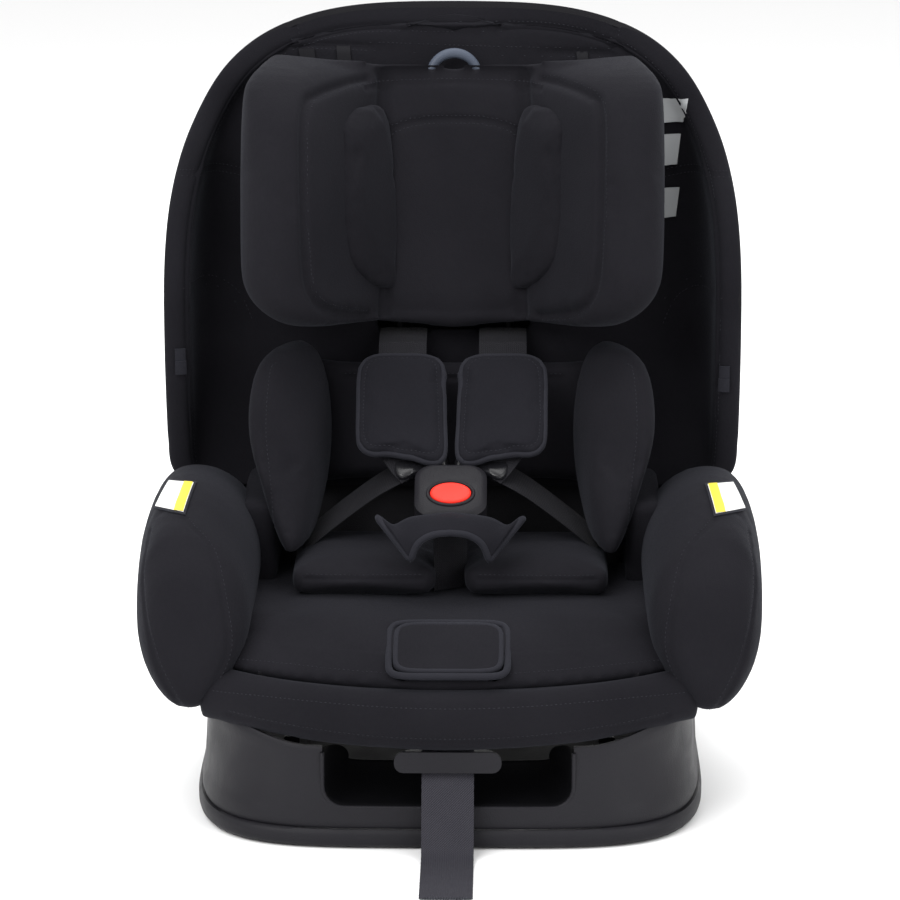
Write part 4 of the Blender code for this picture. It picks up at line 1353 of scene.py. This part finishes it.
def base_pieces():
    rings = []
    for z, scale in (
        (0.0002, 0.978), (0.0010, 0.988), (0.0030, 0.9965), (0.0050, 0.9995), (0.0100, 0.9995),
        (0.0125, 0.9960), (0.0143, 0.9900),
    ):
        rings.append([(x, y, z) for x, y in base_outline(scale)])
    tray = loft("base_tray_body", rings)
    sharpen(tray, 50)
    finish_piece(tray, "base", SATIN, ["base_tray"])

    low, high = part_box("base_shell")
    outer = []
    for share, scale, panel in (
        (0.00, 0.9800, 0.0), (0.04, 0.9850, 0.0), (0.10, 0.9845, 0.0), (0.20, 0.9825, 0.5),
        (0.26, 0.9815, 1.0),
        (0.50, 0.9775, 1.0), (0.76, 0.9730, 1.0), (0.84, 0.9715, 0.5), (0.92, 0.9700, 0.0),
        (0.97, 0.9690, 0.0),
        (1.00, 0.9640, 0.0),
    ):
        ring = []
        for x, y in base_outline(scale):
            # A panel is pressed into each front corner of the wall.
            turn = math.degrees(math.atan2(abs(x), -y))
            inside = min(1.0, max(0.0, (turn - 28) / 4)) * min(1.0, max(0.0, (74 - turn) / 4))
            sink = 1 - 0.011 * panel * inside
            ring.append((x * sink, y * sink, low.z + 0.0003 + share * (high.z - low.z + wall_rise(x, y))))
        outer.append(ring)
    inner = []
    for share, scale in ((1.00, 0.9480), (0.98, 0.9440), (0.50, 0.9470), (0.02, 0.9560)):
        inner.append(
            [(x, y, low.z + share * (high.z - low.z + wall_rise(x, y))) for x, y in base_outline(scale)]
        )
    rings = outer + inner
    rings.append(outer[0])
    wall = sheet_of("base_wall", rings, wrap=True)
    way = rounded_box("way_in_box", (0.188, 0.12, 0.090), (0, -0.225, 0.0306 + 0.045), (0, 0, 0), 0.016, 6)
    cut(wall, way)
    rear = rounded_box("rear_box", (0.46, 0.26, 0.05), (0, 0.140, 0.080), (0, 0, 0), 0.004, 3)
    cut(wall, rear)
    sharpen(wall, 35)
    finish_piece(wall, "base", SATIN, ["base_shell"])

    # The recess's lip, a moulded edge that runs round the way in.
    lip = []
    corner = 0.016
    half = 0.094
    floor = 0.0306
    def wall_y(x):
        return -0.2318 * (1 - (abs(x) / 0.192) ** 4.5) ** (1 / 4.5)
    for z in np.linspace(0.073, floor + corner, 5):
        lip.append((-half, wall_y(half), z))
    for i in range(1, 7):
        turn = math.pi / 2 * i / 6
        x = -half + corner * (1 - math.cos(turn))
        lip.append((x, wall_y(x), floor + corner * (1 - math.sin(turn))))
    for x in np.linspace(-half + corner + 0.01, half - corner - 0.01, 9):
        lip.append((x, wall_y(x), floor))
    left_part = [(-x, y, z) for x, y, z in reversed(lip[:11])]
    lip += left_part
    edge = tube("recess_lip", lip, 0.0017, 8)
    finish_piece(edge, "base", SATIN)

    # Behind the lip the plastic runs back as a smooth bowl for the fingers; the bowl and a sheet on the
    # base's floor are near-black, painted shade in the recess.
    rows = []
    for i in range(13):
        t = i / 12
        back = math.sin(t * math.pi / 2) ** 0.9
        rise = 1 - math.cos(t * math.pi / 2)
        row = []
        for px, py, pz in resample(lip, 0.006):
            row.append(
                (px * (1 - 0.18 * back * back), py + 0.050 * back, pz + (0.054 - pz) * rise * 0.92 + 0.0004)
            )
        rows.append(row)
    # A near-black sheet on the base's floor: painted shade.
    liner = slab("base_liner", (0.330, 0.330, 0.003), 0.050, (0, 0.005, 0.0175), (0, 0, 0), 0.001)
    finish_piece(liner, "base", SHADE)
    bowl = sheet_of("recess_bowl", rows)
    modify(bowl, "SOLIDIFY", thickness=0.0025, offset=0.0)
    finish_piece(bowl, "base", SHADE)


def buckle():
    """A rounded housing with a collar round its button, and two dark tongues."""
    tilt = math.radians(32)
    centre = Vector((0.0, -0.068, 0.2305))
    turn = (tilt, 0, 0)

    def at(x, y, z):
        return centre + Vector(
            (x, y * math.cos(tilt) - z * math.sin(tilt), y * math.sin(tilt) + z * math.cos(tilt))
        )

    body = slab("buckle_body", (0.056, 0.056, 0.0205), 0.0150, at(0, 0, -0.0005), turn, 0.0045)
    well = tube("well_cut", [at(0, -0.006, 0.0008), at(0, -0.006, 0.020)], 0.0163, 40)
    squeeze = points_of(well.data)
    offset = squeeze - np.array(at(0, -0.006, 0.0))
    axis_y = np.array(at(0, 1, 0) - centre)
    offset -= np.outer(offset @ axis_y, axis_y) * 0.30
    move_points(well, offset + np.array(at(0, -0.006, 0.0)))
    cut(body, well)
    for side in SIDES.values():
        slot_box = rounded_box(
            "slot_cut", (0.0200, 0.032, 0.0048), at(side * 0.0125, 0.0215, -0.004), turn, 0.001, 2
        )
        cut(body, slot_box)
    sharpen(body, 30)
    finish_piece(body, "seat", SATIN, ["buckle_housing"])
    collar = []
    for i in range(40):
        angle = 2 * math.pi * i / 40
        collar.append(at(0.0178 * math.cos(angle), -0.006 + 0.0128 * math.sin(angle), 0.0099))
    ring = tube("buckle_collar", [tuple(p) for p in collar], 0.0014, 8, closed=True)
    finish_piece(ring, "seat", SATIN)
    rings = []
    for z, scale in (
        (0.0058, 1.0), (0.0098, 1.0), (0.0108, 0.985), (0.0114, 0.93), (0.0114, 0.80), (0.0109, 0.5),
        (0.0106, 0.2)
    ):
        ring_points = []
        for i in range(40):
            angle = 2 * math.pi * i / 40
            ring_points.append(
                at(0.0159 * scale * math.cos(angle), -0.006 + 0.0109 * scale * math.sin(angle), z)
            )
        rings.append(ring_points)
    button = loft("release_button", rings)
    sharpen(button, 50)
    finish_piece(button, "buckle_button", RED, ["buckle_button"])
    for name, side in SIDES.items():
        # Each tongue's plastic grip spreads like a wing from its steel tip.
        outline = (
            (0.0040, 0.0300), (0.0260, 0.0270), (0.0330, 0.0230), (0.0400, 0.0225), (0.0440, 0.0290),
            (0.0450, 0.0390), (0.0400, 0.0470), (0.0240, 0.0515), (0.0080, 0.0525), (0.0040, 0.0470),
        )
        line = smooth_path(outline, 3, closed=True)
        grip_rings = []
        middle = line.mean(axis=0)
        for z, scale in (
            (-0.0078, 0.90), (-0.0070, 0.97), (-0.0050, 1.0), (-0.0030, 1.0), (-0.0008, 0.96),
            (0.0000, 0.88)
        ):
            ring = []
            for a, b in line:
                wide = side * (middle[0] + (a - middle[0]) * scale)
                ring.append(at(wide, middle[1] + (b - middle[1]) * scale, z))
            grip_rings.append(ring)
        grip = loft(f"tongue_grip_{name}", grip_rings)
        sharpen(grip, 45)
        finish_piece(grip, f"tongue_{name}", GLOSSY, [f"tongue_{name}"])
        tip = slab(
            f"tongue_blade_{name}", (0.0180, 0.0260, 0.0024), 0.003, at(side * 0.0125, 0.0230, -0.0041),
            turn, 0.0005
        )
        finish_piece(tip, f"tongue_{name}", STEEL)


def flap():
    low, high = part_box("adjuster_flap")
    middle = (low + high) / 2
    tilt = math.radians(21)
    panel = slab("flap_panel", (0.078, 0.058, 0.0036), 0.0105, middle, (tilt, 0, 0), 0.0012)
    modify(panel, "SUBSURF", levels=1, render_levels=1)
    finish_piece(panel, "adjuster_flap", FABRIC, ["adjuster_flap"])
    ring = []
    for a, b in oval(0.0392, 0.0292, 56, 6.0):
        ring.append((middle.x + a, middle.y + b * math.cos(tilt), middle.z + b * math.sin(tilt)))
    tape = tube("flap_tape", ring, 0.0023, 10, closed=True)
    finish_piece(tape, "adjuster_flap", BINDING)
    up = Vector((0, -math.sin(tilt), math.cos(tilt)))
    ring = []
    for a, b in oval(0.0445, 0.0335, 60, 7.0):
        base = Vector((middle.x + a, middle.y + b * math.cos(tilt), middle.z + b * math.sin(tilt)))
        ring.append(tuple(base - up * 0.0012))
    tape = tube("pocket_tape", ring, 0.0026, 10, closed=True)
    finish_piece(tape, "seat", BINDING)


def handle_and_rods():
    arch = []
    for i in range(25):
        turn = math.pi * i / 24
        place = local(HEAD_HIGH + 0.0015 + 0.0195 * math.sin(turn), 0.0262, -0.0195 * math.cos(turn))
        arch.append(tuple(place))
    radii = [0.0033 + 0.0009 * math.sin(math.pi * i / 24) for i in range(25)]
    grip = tube("height_handle", arch, radii, 12)
    finish_piece(grip, "headrest_handle", BLUE_GREY, ["headrest_handle"])


def patch(name, obj, corners, look, slot, thickness=0.0007, lift=0.0006, plane=0.0, direction=(0, 1, 0)):
    """A flat patch laid on obj, given by four (x, z) corners on an upright plane, seen along direction."""
    tree = tree_of(obj)
    ray = Vector(direction).normalized()
    a, b, c, d = [np.array(corner, float) for corner in corners]
    rows = []
    for i in range(7):
        row = []
        for j in range(9):
            u = j / 8
            v = i / 6
            x, z = (a * (1 - u) + b * u) * (1 - v) + (d * (1 - u) + c * u) * v
            start = Vector((x, plane, z)) - ray
            hit, normal = tree.ray_cast(start, ray)[:2]
            if hit is None:
                return None
            row.append(hit + normal * (lift + thickness / 2))
        rows.append(row)
    made = sheet_of(name, rows)
    modify(made, "SOLIDIFY", thickness=thickness, offset=0.0)
    sharpen(made, 50)
    return finish_piece(made, "seat", look)


def small_things():
    """Blank tags, silver patches, elastic loops and the ends of webbing that show at the top."""
    cover = bpy.data.objects["back_cover_fabric"]
    for name, side in SIDES.items():
        arm = bpy.data.objects[f"bolster_soft_{name}"]
        view = {"plane": -0.150, "direction": (0, 0.9744, -0.225)}
        edge = [
            (side * a, b) for a,
            b in ((0.2260, 0.2400), (0.2190, 0.2620), (0.1960, 0.2600), (0.2000, 0.2350))
        ]
        patch(f"tag_border_{name}", arm, edge, BINDING, "black_fabric", 0.0009, 0.0004, **view)
        edge = [
            (side * a, b) for a,
            b in ((0.2245, 0.2412), (0.2180, 0.2605), (0.1980, 0.2588), (0.2015, 0.2368))
        ]
        patch(f"tag_white_{name}", arm, edge, LABEL_WHITE, "satin_plastic", 0.0005, 0.0013, **view)
        edge = [
            (side * a, b) for a,
            b in ((0.2085, 0.2378), (0.2050, 0.2594), (0.1985, 0.2588), (0.2018, 0.2370))
        ]
        patch(f"tag_yellow_{name}", arm, edge, LABEL_YELLOW, "satin_plastic", 0.0004, 0.0019, **view)
        low = 0.3075 if side < 0 else 0.2940
        for i, (z, thick) in enumerate(((low, 0.0026), (low + 0.010, 0.0016))):
            tab = [
                (side * 0.2200, z + 0.0110), (side * 0.2130, z + 0.0110), (side * 0.2130, z),
                (side * 0.2200, z)
            ]
            patch(f"cover_loop_{name}_{i}", cover, tab, BINDING, "black_fabric", thick, 0.0004)
    shapes = (
        ("upper", 0.4920, 0.5140, 0.1640, 0.1890),
        ("middle", 0.4580, 0.4850, 0.1640, 0.1840),
        ("lower", 0.4170, 0.4430, 0.1640, 0.1830),
    )
    for name, low, high, inner, outer in shapes:
        corners = [(inner, high - 0.002), (outer, high), (outer - 0.003, low + 0.003), (inner, low)]
        patch(f"silver_{name}", cover, corners, SILVER, "satin_plastic", 0.0005, 0.0008)
    for name, inner, outer, high, low in (
        ("left", -0.0960, -0.0850, 0.5530, 0.5330), ("right", 0.0990, 0.1080, 0.5480, 0.5330),
        ("tag", -0.1265, -0.1140, 0.5500, 0.5380),
    ):
        corners = [(inner, high), (outer, high), (outer + 0.002, low), (inner + 0.002, low)]
        patch(f"top_web_{name}", cover, corners, BLACK_WEB, "black_webbing", 0.0014, 0.0006)


CAD_LOOKS = {
    "zinc_steel": STEEL,
    "satin_plastic": SATIN,
    "shell_plastic": SHELL,
    "rubber": RUBBER,
    "black_fabric": FABRIC,
    "harness_padding": PADDING,
    "black_webbing": BLACK_WEB,
    "grey_webbing": GREY_WEB,
    "red_button": RED,
    "blue_grey_plastic": BLUE_GREY,
}


def dress_cad():
    """The frame's own nodes that stay in sight get the same finishes."""
    for node_name, node in frame["nodes"].items():
        for slot in node.material_slots:
            name = slot.material.name.split(".")[0] if slot.material else ""
            if name in CAD_LOOKS:
                slot.link = "OBJECT"
                # The guide rods get near-black steel in place of zinc: painted shade.
                slot.material = SHADE_DARKENED_STEEL if node_name.startswith("guide_rod") else CAD_LOOKS[name]


# The stage


def stage():
    floor_mesh = bpy.data.meshes.new("floor")
    far = 14.0
    floor_mesh.from_pydata(
        [(-far, -far, 0), (far, -far, 0), (far, far, 0), (-far, far, 0)], [], [(0, 1, 2, 3)]
    )
    floor = bpy.data.objects.new("floor", floor_mesh)
    bpy.context.scene.collection.objects.link(floor)
    floor.location.z = -0.0006
    made, _, shader = base_material("pale_floor", (0.92, 0.92, 0.92), 0.9)
    shader.inputs["Specular IOR Level"].default_value = 0.1
    floor.data.materials.append(made)

    world = bpy.data.worlds.new("studio")
    bpy.context.scene.world = world
    world.use_nodes = True
    world.node_tree.nodes["Background"].inputs["Color"].default_value = (1.0, 1.0, 1.0, 1)
    world.node_tree.nodes["Background"].inputs["Strength"].default_value = 0.95

    lights = (
        ("key", (-1.6, -2.2, 2.6), 2.2, 90.0),
        ("fill", (2.2, -1.8, 1.6), 2.6, 40.0),
        ("top", (0.0, 0.4, 3.0), 2.4, 60.0),
        ("rear", (0.0, 3.0, 2.0), 3.0, 40.0),
    )
    for name, place, size, power in lights:
        lamp = bpy.data.lights.new(name, "AREA")
        lamp.size = size
        lamp.energy = power
        obj = bpy.data.objects.new(name, lamp)
        bpy.context.scene.collection.objects.link(obj)
        obj.location = place
        aim = Vector((0, 0, 0.25)) - Vector(place)
        obj.rotation_euler = aim.to_track_quat("-Z", "Y").to_euler()

    camera_data = bpy.data.cameras.new("camera")
    camera_data.lens = LENS
    camera = bpy.data.objects.new("camera", camera_data)
    bpy.context.scene.collection.objects.link(camera)
    camera.location = CAMERA_PLACE
    camera.rotation_euler = (TARGET - CAMERA_PLACE).to_track_quat("-Z", "Y").to_euler()
    bpy.context.scene.camera = camera
    bpy.context.scene.view_settings.view_transform = "Standard"


def build():
    stage()
    dress_cad()
    soft = soft_goods()
    seat_shell()
    back_lining()
    dress_seat(soft)
    dress_insert(soft)
    dress_headrest(soft)
    dress_harness_pads(soft)
    crotch_pad()
    harness_straps()
    adjuster_tail()
    base_pieces()
    buckle()
    flap()
    handle_and_rods()
    small_things()
    make_stitches()


build()
